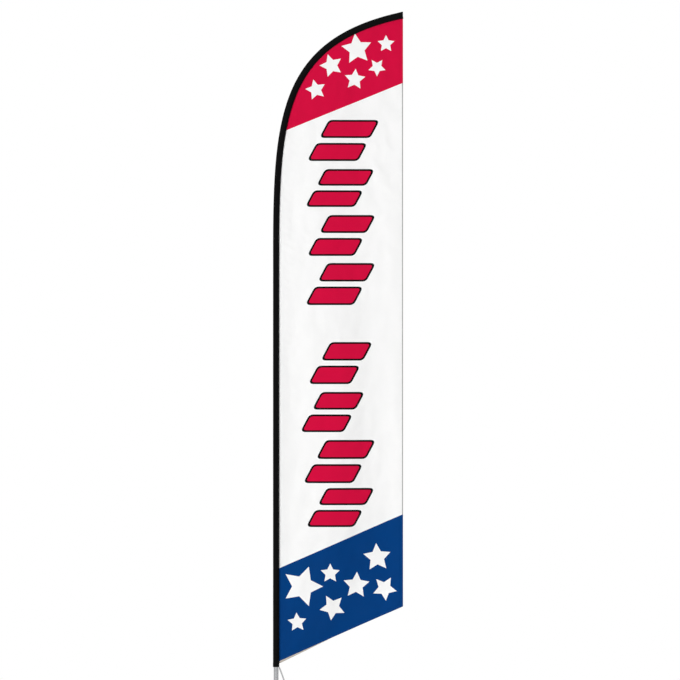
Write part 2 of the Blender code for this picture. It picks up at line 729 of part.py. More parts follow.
# Collar, hook and tie cord ------------------------------------------------------------
def collar():
    middle = (0, 0, COLLAR_Z)
    upright, out = (0, 0, 1), (0, -1, 0)
    body = cylinder("tie_collar", COLLAR_RADIUS, COLLAR_HEIGHT, middle, upright, 48)
    boss_at = (0, BOSS_LENGTH / 2 - BOSS_REACH, COLLAR_Z)
    boss = cylinder("collar_boss", BOSS_RADIUS, BOSS_LENGTH, boss_at, out)
    boolean(body, boss, "UNION")
    ear_size = (EAR_END - EAR_START, EAR_WIDTH, EAR_THICK)
    ear_at = ((EAR_END + EAR_START) / 2, 0, COLLAR_Z)
    ear = block("collar_ear", ear_size, ear_at, BLACK_PLASTIC, EAR_ROUNDING)
    boolean(body, ear, "UNION")
    tall = COLLAR_HEIGHT + 0.020
    bore = cylinder("collar_bore", LOWER_RADIUS + GAP, tall, middle, upright, 48)
    boolean(body, bore, "DIFFERENCE")
    eye = cylinder("collar_eye", EYE_RADIUS, tall, (EYE_X, 0, COLLAR_Z), upright, 24)
    boolean(body, eye, "DIFFERENCE")
    screw_at = (0, -0.022, COLLAR_Z)
    screw = cylinder("screw_hole", SCREW_RADIUS + GAP, 0.030, screw_at, out, 24)
    boolean(body, screw, "DIFFERENCE")
    tip = LOWER_RADIUS + 2 * GAP
    face = BOSS_REACH + GAP
    knob = [
        (0, face + KNOB_HEIGHT),
        (KNOB_RADIUS - KNOB_ROUNDING, face + KNOB_HEIGHT),
        (KNOB_RADIUS, face + KNOB_HEIGHT - KNOB_ROUNDING),
        (KNOB_RADIUS, face + KNOB_ROUNDING),
        (KNOB_RADIUS - KNOB_ROUNDING, face),
        (SCREW_RADIUS, face),
        (SCREW_RADIUS, tip),
        (0, tip),
    ]
    facing = Vector(out).to_track_quat("Z", "Y")
    turned("collar_thumbscrew", knob, BLACK_PLASTIC, at=middle, turn=facing)


def tie_cord():
    socket_top = CRIMP_LOW + CRIMP_SOCKET
    shank_low = COLLAR_Z + 0.020
    shank = [(EYE_X, 0, socket_top - 0.001), (EYE_X, 0, shank_low)]
    swing = arc((EYE_X + HOOK_BEND, COLLAR_Z), HOOK_BEND, 180, 360, 12)
    tip = [(EYE_X + 2 * HOOK_BEND, 0, COLLAR_Z + HOOK_TIP)]
    hook = [*shank, *[(x, 0, z) for x, z in swing], *tip]
    wire("cord_hook", hook, [HOOK_WIRE] * len(hook), STEEL, 3)
    socket = HOOK_WIRE + GAP
    crimp = [
        (0, CRIMP_TOP),
        (CRIMP_RADIUS - 0.001, CRIMP_TOP),
        (CRIMP_RADIUS, CRIMP_TOP - 0.001),
        (CRIMP_RADIUS, CRIMP_LOW + 0.004),
        (CRIMP_RADIUS - 0.002, CRIMP_LOW),
        (socket, CRIMP_LOW),
        (socket, socket_top),
        (0, socket_top),
    ]
    turned("cord_crimp", crimp, BLACK_PLASTIC, at=(EYE_X, 0, 0), sides=24)
    route = smooth_path(CORD_ROUTE, CORD_SPACING)
    wire("tie_cord", route, [CORD_RADIUS] * len(route), CORDING, 3)


flag()
sleeve()
pole_lower, pole_middle, pole_upper = tubes()
snap_lock(
    1, pole_lower, pole_middle, LOWER_TOP_Z, LOWER_RADIUS, MIDDLE_RADIUS - MIDDLE_WALL, 0.008
)
snap_lock(
    2, pole_middle, pole_upper, MIDDLE_TOP_Z, MIDDLE_RADIUS, UPPER_RADIUS - UPPER_WALL, 0.006
)
whip()
foot_cap()
stake()
bearing()
spindle()
collar()
tie_cord()
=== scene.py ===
import json
import math

import bpy
import numpy as np
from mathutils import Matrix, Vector, kdtree, noise
from mathutils.geometry import delaunay_2d_cdt, interpolate_bezier


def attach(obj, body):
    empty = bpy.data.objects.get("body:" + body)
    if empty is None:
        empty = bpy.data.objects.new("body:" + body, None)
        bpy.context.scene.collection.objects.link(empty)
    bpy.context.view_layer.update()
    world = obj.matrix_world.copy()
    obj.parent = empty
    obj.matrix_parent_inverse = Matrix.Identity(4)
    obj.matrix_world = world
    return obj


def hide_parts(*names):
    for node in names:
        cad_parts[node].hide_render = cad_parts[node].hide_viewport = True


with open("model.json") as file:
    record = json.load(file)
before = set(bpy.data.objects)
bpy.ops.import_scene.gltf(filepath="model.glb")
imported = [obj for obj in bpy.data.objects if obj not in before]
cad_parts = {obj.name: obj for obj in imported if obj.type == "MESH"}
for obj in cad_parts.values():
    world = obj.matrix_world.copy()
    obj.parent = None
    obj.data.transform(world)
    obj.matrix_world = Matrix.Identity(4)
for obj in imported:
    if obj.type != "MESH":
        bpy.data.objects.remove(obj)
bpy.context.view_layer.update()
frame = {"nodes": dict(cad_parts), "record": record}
nodes = frame["nodes"]
scene = bpy.context.scene
TURN = 2 * math.pi

# Camera -------------------------------------------------------------------------------
VIEW_X = 0.342
VIEW_Z = 2.550
VIEW_SPAN = 3.640  # width of the picture at the flag
VIEW_DISTANCE = 27.0
camera_data = bpy.data.cameras.new("camera")
camera_data.sensor_width = 36.0
camera_data.lens = 36.0 * VIEW_DISTANCE / VIEW_SPAN
camera_data.clip_start = 1.0
camera_data.clip_end = 200.0
camera = bpy.data.objects.new("camera", camera_data)
camera.location = (VIEW_X, -VIEW_DISTANCE, VIEW_Z)
camera.rotation_euler = (math.radians(90), 0, 0)
scene.collection.objects.link(camera)
scene.camera = camera

# The pole's line and the sleeve round it, as in the CAD source --------------------------
MOUTH_Z = 0.800
FLAG_REACH = 0.679
BEND_START_Z = 2.920
SLEEVE_HALF_WIDTH = 0.0166
SLEEVE_TIP_HALF_WIDTH = 0.0182
SLEEVE_HALF_DEPTHS = [0.0152, 0.0126, 0.0085]  # at its mouth, the bend's start and its end
CORNER_Z = 0.831
EDGE_SLOPE = 0.443
HEM = 0.012
RIPPLE = 0.015
RIPPLE_LENGTH = 0.52

bend = interpolate_bezier(
    Vector((0, 0, BEND_START_Z)),
    Vector((0, 0, 3.710)),
    Vector((0, 0, 4.145)),
    Vector((FLAG_REACH, 0, 4.289)),
    400,
)
bend_x = np.array([p.x for p in bend])
bend_z = np.array([p.z for p in bend])
bend_run = np.concatenate([[0], np.cumsum(np.hypot(np.diff(bend_x), np.diff(bend_z)))])
LINE_END = BEND_START_Z + float(bend_run[-1])


def on_line(run):
    """The point at this distance along the pole's line from the ground."""
    if run <= BEND_START_Z:
        return Vector((0, 0, run))
    past = run - BEND_START_Z
    return Vector((np.interp(past, bend_run, bend_x), 0, np.interp(past, bend_run, bend_z)))


def along_line(run):
    """The line's direction there, and the direction square to it on the flag's side."""
    step = 0.001
    ahead = on_line(min(run + step, LINE_END)) - on_line(min(run, LINE_END - step))
    ahead.normalize()
    return ahead, Vector((ahead.z, 0, -ahead.x))


def bend_share(run):
    return max(0.0, (run - BEND_START_Z) / (LINE_END - BEND_START_Z))


def half_width(run):
    return SLEEVE_HALF_WIDTH + (SLEEVE_TIP_HALF_WIDTH - SLEEVE_HALF_WIDTH) * bend_share(run)


def half_depth(run):
    return float(np.interp(run, [MOUTH_Z, BEND_START_Z, LINE_END], SLEEVE_HALF_DEPTHS))


def edge_point(run, extra):
    """The sleeve's inner edge, this much further out. The last one is cut upright."""
    ahead, inward = along_line(run)
    reach = half_width(run) + extra
    if run >= LINE_END:
        return on_line(run) + Vector((0, 0, -reach / ahead.x))
    return on_line(run) + inward * reach


# Mesh helpers -------------------------------------------------------------------------
def face_out(mesh):
    """Turns a closed mesh's faces over if they point in."""
    mesh.calc_loop_triangles()
    corners = np.empty(len(mesh.loop_triangles) * 3, np.int32)
    mesh.loop_triangles.foreach_get("vertices", corners)
    points = np.empty(len(mesh.vertices) * 3, np.float32)
    mesh.vertices.foreach_get("co", points)
    points = points.reshape(-1, 3).astype(float)
    points -= points.mean(axis=0)
    a, b, c = (points[corners[k::3]] for k in range(3))
    if np.sum(a * np.cross(b, c)) < 0:
        mesh.flip_normals()


def add_piece(name, verts, faces, finishes, body="mast", indices=None, closed=True):
    """A new mesh piece in the row frame that rides on a CAD body."""
    mesh = bpy.data.meshes.new(name)
    mesh.from_pydata([tuple(v) for v in verts], [], faces)
    for one in finishes if isinstance(finishes, list) else [finishes]:
        mesh.materials.append(one)
    if indices is not None:
        mesh.polygons.foreach_set("material_index", np.array(indices, np.int32))
    if closed:
        face_out(mesh)
    mesh.shade_smooth()
    mesh.update()
    piece = bpy.data.objects.new(name, mesh)
    scene.collection.objects.link(piece)
    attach(piece, body)
    return piece


def skin(rows, cyclic=True, start_cap=False, end_cap=False):
    """Vertices and faces of a surface through rows of points of equal length."""
    size = len(rows[0])
    verts = [p for row in rows for p in row]
    faces = []
    for r in range(len(rows) - 1):
        low, high = r * size, (r + 1) * size
        for i in range(size if cyclic else size - 1):
            k = (i + 1) % size
            faces.append((low + i, low + k, high + k, high + i))
    if start_cap:
        faces.append(tuple(range(size))[::-1])
    if end_cap:
        faces.append(tuple(range(len(verts) - size, len(verts))))
    return verts, faces


def smooth_path(points, spacing):
    """Points a fixed distance apart on a smooth curve through the given ones."""
    p = np.array(
        [2 * np.array(points[0]) - points[1], *points, 2 * np.array(points[-1]) - points[-2]]
    )
    dense = []
    for a, b, c, d in zip(p, p[1:], p[2:], p[3:]):
        for t in np.linspace(0, 1, 20, endpoint=False):
            dense.append(
                b + 0.5 * t * (c - a + t * (2 * a - 5 * b + 4 * c - d + t * (3 * (b - c) + d - a)))
            )
    dense = np.array([*dense, p[-2]])
    run = np.concatenate([[0], np.cumsum(np.linalg.norm(np.diff(dense, axis=0), axis=1))])
    marks = np.linspace(0, run[-1], round(run[-1] / spacing) + 1)
    return np.array([[np.interp(m, run, dense[:, k]) for k in range(3)] for m in marks])


# Materials ----------------------------------------------------------------------------
def srgb(r, g, b):
    """A display colour, 0 to 255, as the linear numbers a shader takes."""
    return tuple(
        c / 255 / 12.92 if c / 255 <= 0.04045 else ((c / 255 + 0.055) / 1.055) ** 2.4
        for c in (r, g, b)
    )


class Nodes:
    """A material's node tree, with short ways to add and link nodes."""

    def __init__(self, name):
        self.material = bpy.data.materials.new(name)
        self.material.use_nodes = True
        self.tree = self.material.node_tree
        self.shader = self.tree.nodes["Principled BSDF"]
        coordinates = self.tree.nodes.new("ShaderNodeTexCoord")
        self.place = coordinates.outputs["Object"]

    def add(self, kind, inputs=(), **settings):
        node = self.tree.nodes.new(kind)
        for key, value in settings.items():
            setattr(node, key, value)
        for key, value in dict(inputs).items():
            if isinstance(value, bpy.types.NodeSocket):
                self.tree.links.new(value, node.inputs[key])
            else:
                node.inputs[key].default_value = value
        return node

    def math(self, operation, a, b=0.0, clamp=False):
        node = self.add("ShaderNodeMath", {0: a, 1: b}, operation=operation, use_clamp=clamp)
        return node.outputs[0]

    def scaled(self, factors):
        return self.add("ShaderNodeMapping", {"Vector": self.place, "Scale": factors}).outputs[0]

    def noise(self, scale, detail=3.0, factors=None, roughness=0.55):
        where = self.place if factors is None else self.scaled(factors)
        inputs = {"Vector": where, "Scale": scale, "Detail": detail, "Roughness": roughness}
        return self.add("ShaderNodeTexNoise", inputs).outputs["Fac"]

    def ramp(self, value, low, high, to_low, to_high):
        inputs = {0: value, 1: low, 2: high, 3: to_low, 4: to_high}
        return self.add("ShaderNodeMapRange", inputs).outputs[0]

    def mix(self, share, first, second):
        inputs = {0: share}
        for key, value in ((6, first), (7, second)):
            inputs[key] = (*value, 1.0) if isinstance(value, tuple) else value
        return self.add("ShaderNodeMix", inputs, data_type="RGBA").outputs[2]

    def axes(self):
        return self.add("ShaderNodeSeparateXYZ", {0: self.place}).outputs

    def ripple(self, value, pitch):
        """A sine along a coordinate, one wave for each pitch in metres."""
        return self.math("SINE", self.math("MULTIPLY", value, TURN / pitch))

    def bump(self, height, distance, strength=1.0, under=None):
        inputs = {"Height": height, "Distance": distance, "Strength": strength}
        if under is not None:
            inputs["Normal"] = under
        return self.add("ShaderNodeBump", inputs).outputs[0]

    def set(self, **values):
        for key, value in values.items():
            socket = self.shader.inputs[key.replace("_", " ")]
            if isinstance(value, bpy.types.NodeSocket):
                self.tree.links.new(value, socket)
            elif isinstance(value, tuple):
                socket.default_value = (*value, 1.0)
            else:
                socket.default_value = value


def lighter(colour, factor):
    return tuple(min(1.0, c * factor) for c in colour)


def cloth_finish(name, colour, roughness=0.8, pitch=0.0011, spread=0.08, specular=0.06, relief=1.0):
    """Knitted polyester: rows of fine loops, faint mottling of the dye, and small creases."""
    n = Nodes(name)
    jitter = n.math("MULTIPLY", n.noise(260.0, 2.0), 0.9 * pitch)
    x, y, z = n.axes()[:3]
    across = n.math("ADD", n.math("ADD", x, y), jitter)
    up = n.math("ADD", z, jitter)
    loops = n.math("MULTIPLY", n.ripple(across, pitch), n.ripple(up, 1.35 * pitch))
    dye = n.noise(7.0, 4.0)
    fuzz = n.noise(1100.0, 2.0)
    tone = n.math("ADD", n.math("MULTIPLY", loops, 0.55), n.math("MULTIPLY", dye, 0.7))
    tone = n.math("ADD", tone, n.math("MULTIPLY", fuzz, 0.3), clamp=True)
    crease = n.noise(1.0, 3.0, (34.0, 34.0, 17.0), 0.6)
    knit = n.math("ADD", loops, n.math("MULTIPLY", fuzz, 0.6))
    creased = n.bump(crease, 0.0022, 0.35 * relief)
    n.set(
        Base_Color=n.mix(tone, lighter(colour, 1 - spread), lighter(colour, 1 + spread)),
        Roughness=n.ramp(dye, 0.3, 0.7, roughness - 0.08, roughness + 0.08),
        Specular_IOR_Level=specular,
        Normal=n.bump(knit, 0.00028, 0.8 * relief, creased),
    )
    return n.material


def metal_finish(name, colour, roughness, along="z", spread=0.10, scratches=0.5):
    """Bare metal with a fine drawn grain along one axis and a few dull patches."""
    n = Nodes(name)
    factors = {"z": (600, 600, 9), "x": (9, 600, 600), "none": (250, 250, 250)}[along]
    grain = n.noise(1.0, 4.0, factors)
    patches = n.noise(35.0, 3.0)
    n.set(
        Base_Color=n.mix(grain, lighter(colour, 1 - spread), lighter(colour, 1 + spread)),
        Metallic=1.0,
        Roughness=n.math(
            "ADD",
            n.ramp(grain, 0.3, 0.7, roughness - 0.07, roughness + 0.07),
            n.ramp(patches, 0.5, 0.8, 0.0, 0.12),
        ),
        Normal=n.bump(grain, 0.00004, scratches),
    )
    return n.material


def plastic_finish(name, colour, roughness, spread=0.08, depth=0.00003, specular=0.5):
    """Moulded plastic or rubber: a fine even grain and slight handling marks."""
    n = Nodes(name)
    grain = n.noise(1400.0, 2.0)
    marks = n.noise(60.0, 5.0)
    n.set(
        Base_Color=n.mix(marks, lighter(colour, 1 - spread), lighter(colour, 1 + 3 * spread)),
        Roughness=n.ramp(marks, 0.35, 0.75, roughness - 0.06, roughness + 0.10),
        Specular_IOR_Level=specular,
        Normal=n.bump(grain, depth, 0.5),
    )
    return n.material


def worn_paint(name, colour, metal, roughness):
    """Powder coat with orange peel, rubbed to bright steel along its edges."""
    n = Nodes(name)
    rounded = n.add("ShaderNodeBevel", {"Radius": 0.0016}, samples=6).outputs[0]
    flat = n.add("ShaderNodeNewGeometry").outputs["Normal"]
    turned = n.add("ShaderNodeVectorMath", {0: rounded, 1: flat}, operation="DOT_PRODUCT")
    edge = n.math("SUBTRACT", 1.0, turned.outputs["Value"])
    chips = n.noise(180.0, 4.0)
    rubbed = n.math("MULTIPLY", n.ramp(edge, 0.01, 0.12, 0, 1), n.ramp(chips, 0.42, 0.55, 0, 1))
    scuffs = n.ramp(n.noise(42.0, 6.0, roughness=0.7), 0.62, 0.70, 0.0, 0.35)
    bare = n.math("MAXIMUM", rubbed, n.math("MULTIPLY", scuffs, n.ramp(chips, 0.4, 0.6, 0, 1)))
    dust = n.mix(n.noise(25.0, 4.0), colour, lighter(colour, 1.9))
    n.set(
        Base_Color=n.mix(bare, dust, metal),
        Metallic=bare,
        Roughness=n.ramp(chips, 0.3, 0.7, roughness - 0.05, roughness + 0.12),
        Normal=n.bump(n.noise(520.0, 2.0), 0.00008, 0.6),
    )
    return n.material


RED = srgb(208, 10, 61)
BLUE = srgb(0, 59, 122)
PAPER = (0.92, 0.92, 0.92)
INK = (0.003, 0.003, 0.0035)
PRINT_COLOURS = [
    ("red", RED, 0.07),
    ("white", PAPER, 0.03),
    ("blue", BLUE, 0.08),
    ("black", INK, 0.3),
]
IN_RED, IN_WHITE, IN_BLUE, IN_BLACK = range(4)


def seen_through(colour):
    """The print as its reverse shows it: a little paler, because the dye bleeds through."""
    return tuple(0.90 * c + 0.035 for c in colour)


PRINT = [cloth_finish("print_" + name, tint, spread=s) for name, tint, s in PRINT_COLOURS]
REVERSE = [
    cloth_finish("reverse_" + name, seen_through(tint), spread=s) for name, tint, s in PRINT_COLOURS
]
print_red, print_white, print_blue = PRINT[:3]
# Painted shade: a grey for the overlocked edge beside the white print, standing in for the shadow
# line of the folded free edge
edge_shade_grey = cloth_finish("edge_painted_shade_grey", srgb(163, 163, 163), pitch=0.0008)
# Beige-grey of the thin strip that shows below the bottom hem beside the sleeve
beige_edge_strip = cloth_finish("beige_edge_strip", srgb(196, 187, 176), pitch=0.0014)
sleeve_black = cloth_finish("sleeve_cloth_black", (0.0024, 0.0024, 0.0026), 0.60, 0.0016, 0.4, 0.05)
THREADS = [
    cloth_finish("thread_" + name, tint, 0.5, 0.0004, 0.1, 0.3, 0.4)
    for name, tint in (
        ("red", srgb(222, 44, 88)),
        ("white", srgb(236, 236, 234)),
        ("blue", srgb(34, 90, 156)),
        ("black", (0.016, 0.016, 0.017)),
    )
]


# Tie cord -----------------------------------------------------------------------------
CORD_RADIUS = 0.004
CORD_ROUTE = [
    (0.0172, 0.000, 0.7972),
    (0.0242, -0.0005, 0.7785),
    (0.0316, -0.002, 0.7587),
    (0.0389, -0.004, 0.7389),
    (0.0457, -0.006, 0.7175),
    (0.0512, -0.008, 0.6940),
    (0.0548, -0.0095, 0.6690),
    (0.0562, -0.010, 0.6430),
    (0.0548, -0.0095, 0.6170),
    (0.0505, -0.008, 0.5910),
    (0.0440, -0.006, 0.5670),
    (0.0370, -0.0035, 0.5455),
    (0.0310, -0.0015, 0.5250),
    (0.0278, -0.0003, 0.5090),
    (0.027, 0.000, 0.4963),
]
CORD_STRANDS = 8
CORD_PITCH = 0.016  # one strand's full turn
CORD_RELIEF = 0.0005


def braided_tube(path, radius, strands, pitch, relief, sides):
    """Rows of points round a path, with the relief of crossing strands, and their tones."""
    path = np.array(path)
    ahead = np.gradient(path, axis=0)
    ahead /= np.linalg.norm(ahead, axis=1)[:, None]
    run = np.concatenate([[0], np.cumsum(np.linalg.norm(np.diff(path, axis=0), axis=1))])
    side = np.array([0.0, 1.0, 0.0])
    rows, tones = [], []
    for p, t, s in zip(path, ahead, run):
        u = side - t * (side @ t)
        u /= np.linalg.norm(u)
        v = np.cross(t, u)
        row, tone = [], []
        for i in range(sides):
            a = TURN * i / sides
            one = math.cos(strands / 2 * (a + TURN * s / pitch))
            other = math.cos(strands / 2 * (a - TURN * s / pitch))
            reach = radius - relief * (1 - abs(one * other))
            row.append(p + (u * math.cos(a) + v * math.sin(a)) * reach)
            tone.append(one * other > 0)
        rows.append(row)
        tones.append(tone)
    return rows, tones


def cord_finish(name, colour):
    n = Nodes(name)
    x, y, z = n.axes()[:3]
    threads = n.ripple(n.math("ADD", z, n.math("MULTIPLY", y, 0.6)), 0.0007)
    fuzz = n.noise(1200.0, 3.0)
    n.set(
        Base_Color=n.mix(fuzz, lighter(colour, 0.88), lighter(colour, 1.1)),
        Roughness=n.ramp(fuzz, 0.3, 0.7, 0.75, 0.9),
        Specular_IOR_Level=0.2,
        Sheen_Weight=0.1,
        Normal=n.bump(n.math("ADD", threads, fuzz), 0.00008, 0.5),
    )
    return n.material


cord_light = cord_finish("cord_light_grey", srgb(186, 186, 187))
cord_dark = cord_finish("cord_mid_grey", srgb(170, 170, 172))
CORD_TUCK = [(0.0143, 0.0, 0.8070), (0.0148, 0.0, 0.8025)]  # sewn in behind the sleeve's hem
TUCK_END = 0.8015
TUCK_LENGTH = 0.010  # over which it fills out to its full thickness
TUCK_SQUEEZE = np.array([0.34, 0.62, 1.0])
CORD_SIDES = 32
cord_path = smooth_path(CORD_TUCK + CORD_ROUTE, 0.0010)
rows, tones = braided_tube(
    cord_path, CORD_RADIUS, CORD_STRANDS, CORD_PITCH, CORD_RELIEF, CORD_SIDES
)
for row, centre in zip(rows, cord_path):
    loose = min(1.0, max(0.0, (TUCK_END - centre[2]) / TUCK_LENGTH))
    loose = loose * loose * (3 - 2 * loose)
    squeeze = TUCK_SQUEEZE + (1 - TUCK_SQUEEZE) * loose
    for k, p in enumerate(row):
        row[k] = centre + (p - centre) * squeeze
verts, faces = skin(rows, start_cap=True, end_cap=True)
indices = [int(tones[r][i]) for r in range(len(rows) - 1) for i in range(CORD_SIDES)] + [0, 0]
tie_cord = add_piece("tie_cord_braid", verts, faces, [cord_light, cord_dark], indices=indices)
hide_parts("tie_cord")


# The flag's cut and print -------------------------------------------------------------
UNDER_SLEEVE = 0.0020  # the sheet runs on between the sleeve's two layers
UNDER_HEM = 0.0008
CELL = 0.0115
seam_runs = [float(r) for r in np.linspace(CORNER_Z, BEND_START_Z, 140)[:-1]]
seam_runs += [float(r) for r in np.linspace(BEND_START_Z, LINE_END, 110)]
seam = [edge_point(run, 0.0003) for run in seam_runs]
seam_x = np.array([p.x for p in seam])
seam_z = np.array([p.z for p in seam])


def lower_edge(x):
    return CORNER_Z + (x - seam_x[0]) * EDGE_SLOPE


def upper_edge(x):
    """Height of the sleeve's inner edge over x, on the bend."""
    return np.interp(x, seam_x, seam_z)


def drape(x, z):
    """How far the cloth stands out of its plane: still at the sleeve, rippled below it."""
    beside = np.maximum(x - SLEEVE_HALF_WIDTH, 0.0)
    below = np.maximum(upper_edge(x) - z, 0.0)
    free = beside * below / (np.hypot(beside, below) + 1e-6)
    calm = 1.0 - np.exp(-((free / 0.30) ** 2))
    return RIPPLE * calm * np.sin(TURN * x / RIPPLE_LENGTH + 0.9 * z)


def star(x, z, radius, degrees):
    """Ten corners of a five-pointed star, one point of it in this direction."""
    turns = [math.radians(degrees + 36 * k) for k in range(10)]
    reach = [radius, 0.5 * radius] * 5
    return [(x + r * math.cos(a), z + r * math.sin(a)) for r, a in zip(reach, turns)]


def rounded(corners, radii, steps=6):
    """A closed outline with each corner rounded, by arcs between its sides."""
    out = []
    count = len(corners)
    for i, radius in enumerate(radii):
        before, here, after = (Vector(corners[(i + k) % count]) for k in (-1, 0, 1))
        back, on = (before - here).normalized(), (after - here).normalized()
        half = back.angle(on) / 2
        inset = radius / math.tan(half)
        start, end = here + back * inset, here + on * inset
        for k in range(steps + 1):
            t = k / steps
            out.append(tuple((1 - t) ** 2 * start + 2 * t * (1 - t) * here + t * t * end))
    return out


STARS = [
    (0.4320, 4.1076, 0.0840, 97),
    (0.2955, 4.0193, 0.0632, 180),
    (0.2125, 3.8898, 0.0562, 176),
    (0.4213, 3.9454, 0.0573, 85.5),
    (0.5883, 4.1355, 0.0471, 90),
    (0.5401, 4.0097, 0.0482, 270),
    (0.1408, 1.2315, 0.1108, 0),
    (0.2896, 1.3010, 0.0530, 90),
    (0.4293, 1.2373, 0.0723, 87),
    (0.5407, 1.3862, 0.0760, 94),
    (0.5808, 1.2202, 0.0664, 276),
    (0.3019, 1.1190, 0.0707, 263),
    (0.1124, 1.0393, 0.0525, 94),
]
BLOCKS = [
    (0.165, 0.556, 3.508, 3.728),
    (0.155, 0.529, 3.262, 3.465),
    (0.165, 0.535, 3.000, 3.219),
    (0.155, 0.535, 2.737, 2.962),
    (0.171, 0.519, 2.314, 2.539),
    (0.128, 0.476, 2.057, 2.272),
    (0.144, 0.535, 1.784, 2.015),
    (0.160, 0.529, 1.549, 1.758),
]
BLOCK_LEAN = math.tan(math.radians(28))
BAR_SHARE = 0.44  # of a block's height
BAR_OUTLINE = 0.0100
BAR_CORNERS = [0.018, 0.036, 0.018, 0.036]


def bars(left, right, low, high):
    """Two leaning bars, one above the other, as (outer, inner) outlines."""
    lean = BLOCK_LEAN * (high - low)
    made = []
    thick = BAR_SHARE * (high - low)
    far = right - lean
    for base in (low, high - thick):
        upright = ((left, base), (far, base), (far, base + thick), (left, base + thick))
        corners = [(x + BLOCK_LEAN * (z - low), z) for x, z in upright]
        middle = Vector((sum(x for x, _ in corners) / 4, sum(z for _, z in corners) / 4))
        wide, tall = (far - left) / 2, thick / 2
        shrink_x = (wide - BAR_OUTLINE * 1.13) / wide
        shrink_z = (tall - BAR_OUTLINE) / tall
        inner = []
        for x, z in corners:
            dz = (z - middle.y) * shrink_z
            dx = (x - middle.x - BLOCK_LEAN * (z - middle.y)) * shrink_x + BLOCK_LEAN * dz
            inner.append((middle.x + dx, middle.y + dz))
        inner_corners = [r - BAR_OUTLINE * 0.8 for r in BAR_CORNERS]
        made.append((rounded(corners, BAR_CORNERS), rounded(inner, inner_corners)))
    return made


star_outlines = [star(*s) for s in STARS]
bar_outlines = [pair for block in BLOCKS for pair in bars(*block)]


RED_SLOPE = 0.406
BLUE_SLOPE = 0.437


def red_line(x):
    """Height of the red part's lower edge."""
    return 3.673 + (x - 0.056) * RED_SLOPE


def blue_line(x):
    """Height of the blue part's upper edge."""
    return 1.328 + (x - 0.0155) * BLUE_SLOPE


def inside(points, outline):
    """Which of the points lie inside a closed outline."""
    px, pz = points[:, 0], points[:, 1]
    found = np.zeros(len(points), bool)
    for (ax, az), (bx, bz) in zip(outline, outline[1:] + outline[:1]):
        crosses = (az > pz) != (bz > pz)
        if az != bz:
            found ^= crosses & (px < (bx - ax) * (pz - az) / (bz - az) + ax)
    return found


def print_zone(points):
    """The print's colour at flat (x, z) points, as an index into PRINT."""
    points = np.array(points, float).reshape(-1, 2)
    zone = np.full(len(points), IN_WHITE)
    zone[points[:, 1] > red_line(points[:, 0])] = IN_RED
    zone[points[:, 1] < blue_line(points[:, 0])] = IN_BLUE
    for outline in star_outlines:
        zone[inside(points, outline)] = IN_WHITE
    for outer, inner in bar_outlines:
        zone[inside(points, outer)] = IN_BLACK
        zone[inside(points, inner)] = IN_RED
    return zone


def divided(outline, step, closed=True):
    """The same outline with points no further apart than step."""
    pairs = zip(outline, outline[1:] + outline[:1]) if closed else zip(outline, outline[1:])
    out = []
    for a, b in pairs:
        a, b = Vector(a), Vector(b)
        count = max(1, math.ceil((b - a).length / step))
        out += [tuple(a.lerp(b, k / count)) for k in range(count)]
    return out if closed else [*out, tuple(outline[-1])]


cut_right = FLAG_REACH - UNDER_HEM
cut = [edge_point(run, -UNDER_SLEEVE) for run in seam_runs]
cut = [(p.x, p.z) for p in cut if p.x < cut_right - 0.001]
cut.append((cut_right, float(upper_edge(cut_right)) + 0.002))
cut += [
    (cut_right, lower_edge(cut_right) + UNDER_HEM),
    (cut[0][0], lower_edge(cut[0][0]) + UNDER_HEM),
]


def sheet_mesh(cell, printed):
    """The cut sheet as flat points and triangles, with the print's edges in it."""
    border = divided(cut, cell)
    points, edges = [Vector(p) for p in border], []
    loops = []
    if printed:
        loops = [divided(o, cell) for o in star_outlines]
        loops += [divided(o, cell) for pair in bar_outlines for o in pair]
        for line in (red_line, blue_line):
            ends = [(0.015, line(0.015)), (cut_right, line(cut_right))]
            ends = divided(ends, cell, closed=False)
            ends = [p for p, ok in zip(ends, inside(np.array(ends), cut)) if ok]
            start = len(points)
            points += [Vector(p) for p in ends]
            edges += [(start + k, start + k + 1) for k in range(len(ends) - 1)]
    for loop in loops:
        start = len(points)
        points += [Vector(p) for p in loop]
        edges += [(start + k, start + (k + 1) % len(loop)) for k in range(len(loop))]
    fixed = np.array([tuple(p) for p in points])
    grid = []
    for r, z in enumerate(np.arange(0.80, 4.32, cell * 0.866)):
        for x in np.arange(0.0, 0.70, cell):
            grid.append((x + (cell / 2 if r % 2 else 0), z))
    grid = np.array(grid)
    grid = grid[inside(grid, cut)]
    near = kdtree.KDTree(len(fixed))
    for k, p in enumerate(fixed):
        near.insert((p[0], p[1], 0), k)
    near.balance()
    grid = [p for p in grid if near.find((p[0], p[1], 0))[2] > cell * 0.55]
    points += [Vector(p) for p in grid]
    outcome = delaunay_2d_cdt(points, edges, [list(range(len(border)))], 1, 1e-6)
    flat = np.array([tuple(p) for p in outcome[0]])
    tris = np.array([t for t in outcome[2] if len(t) == 3])
    tris = tris[inside(flat[tris].mean(axis=1), cut)]
    return flat, tris


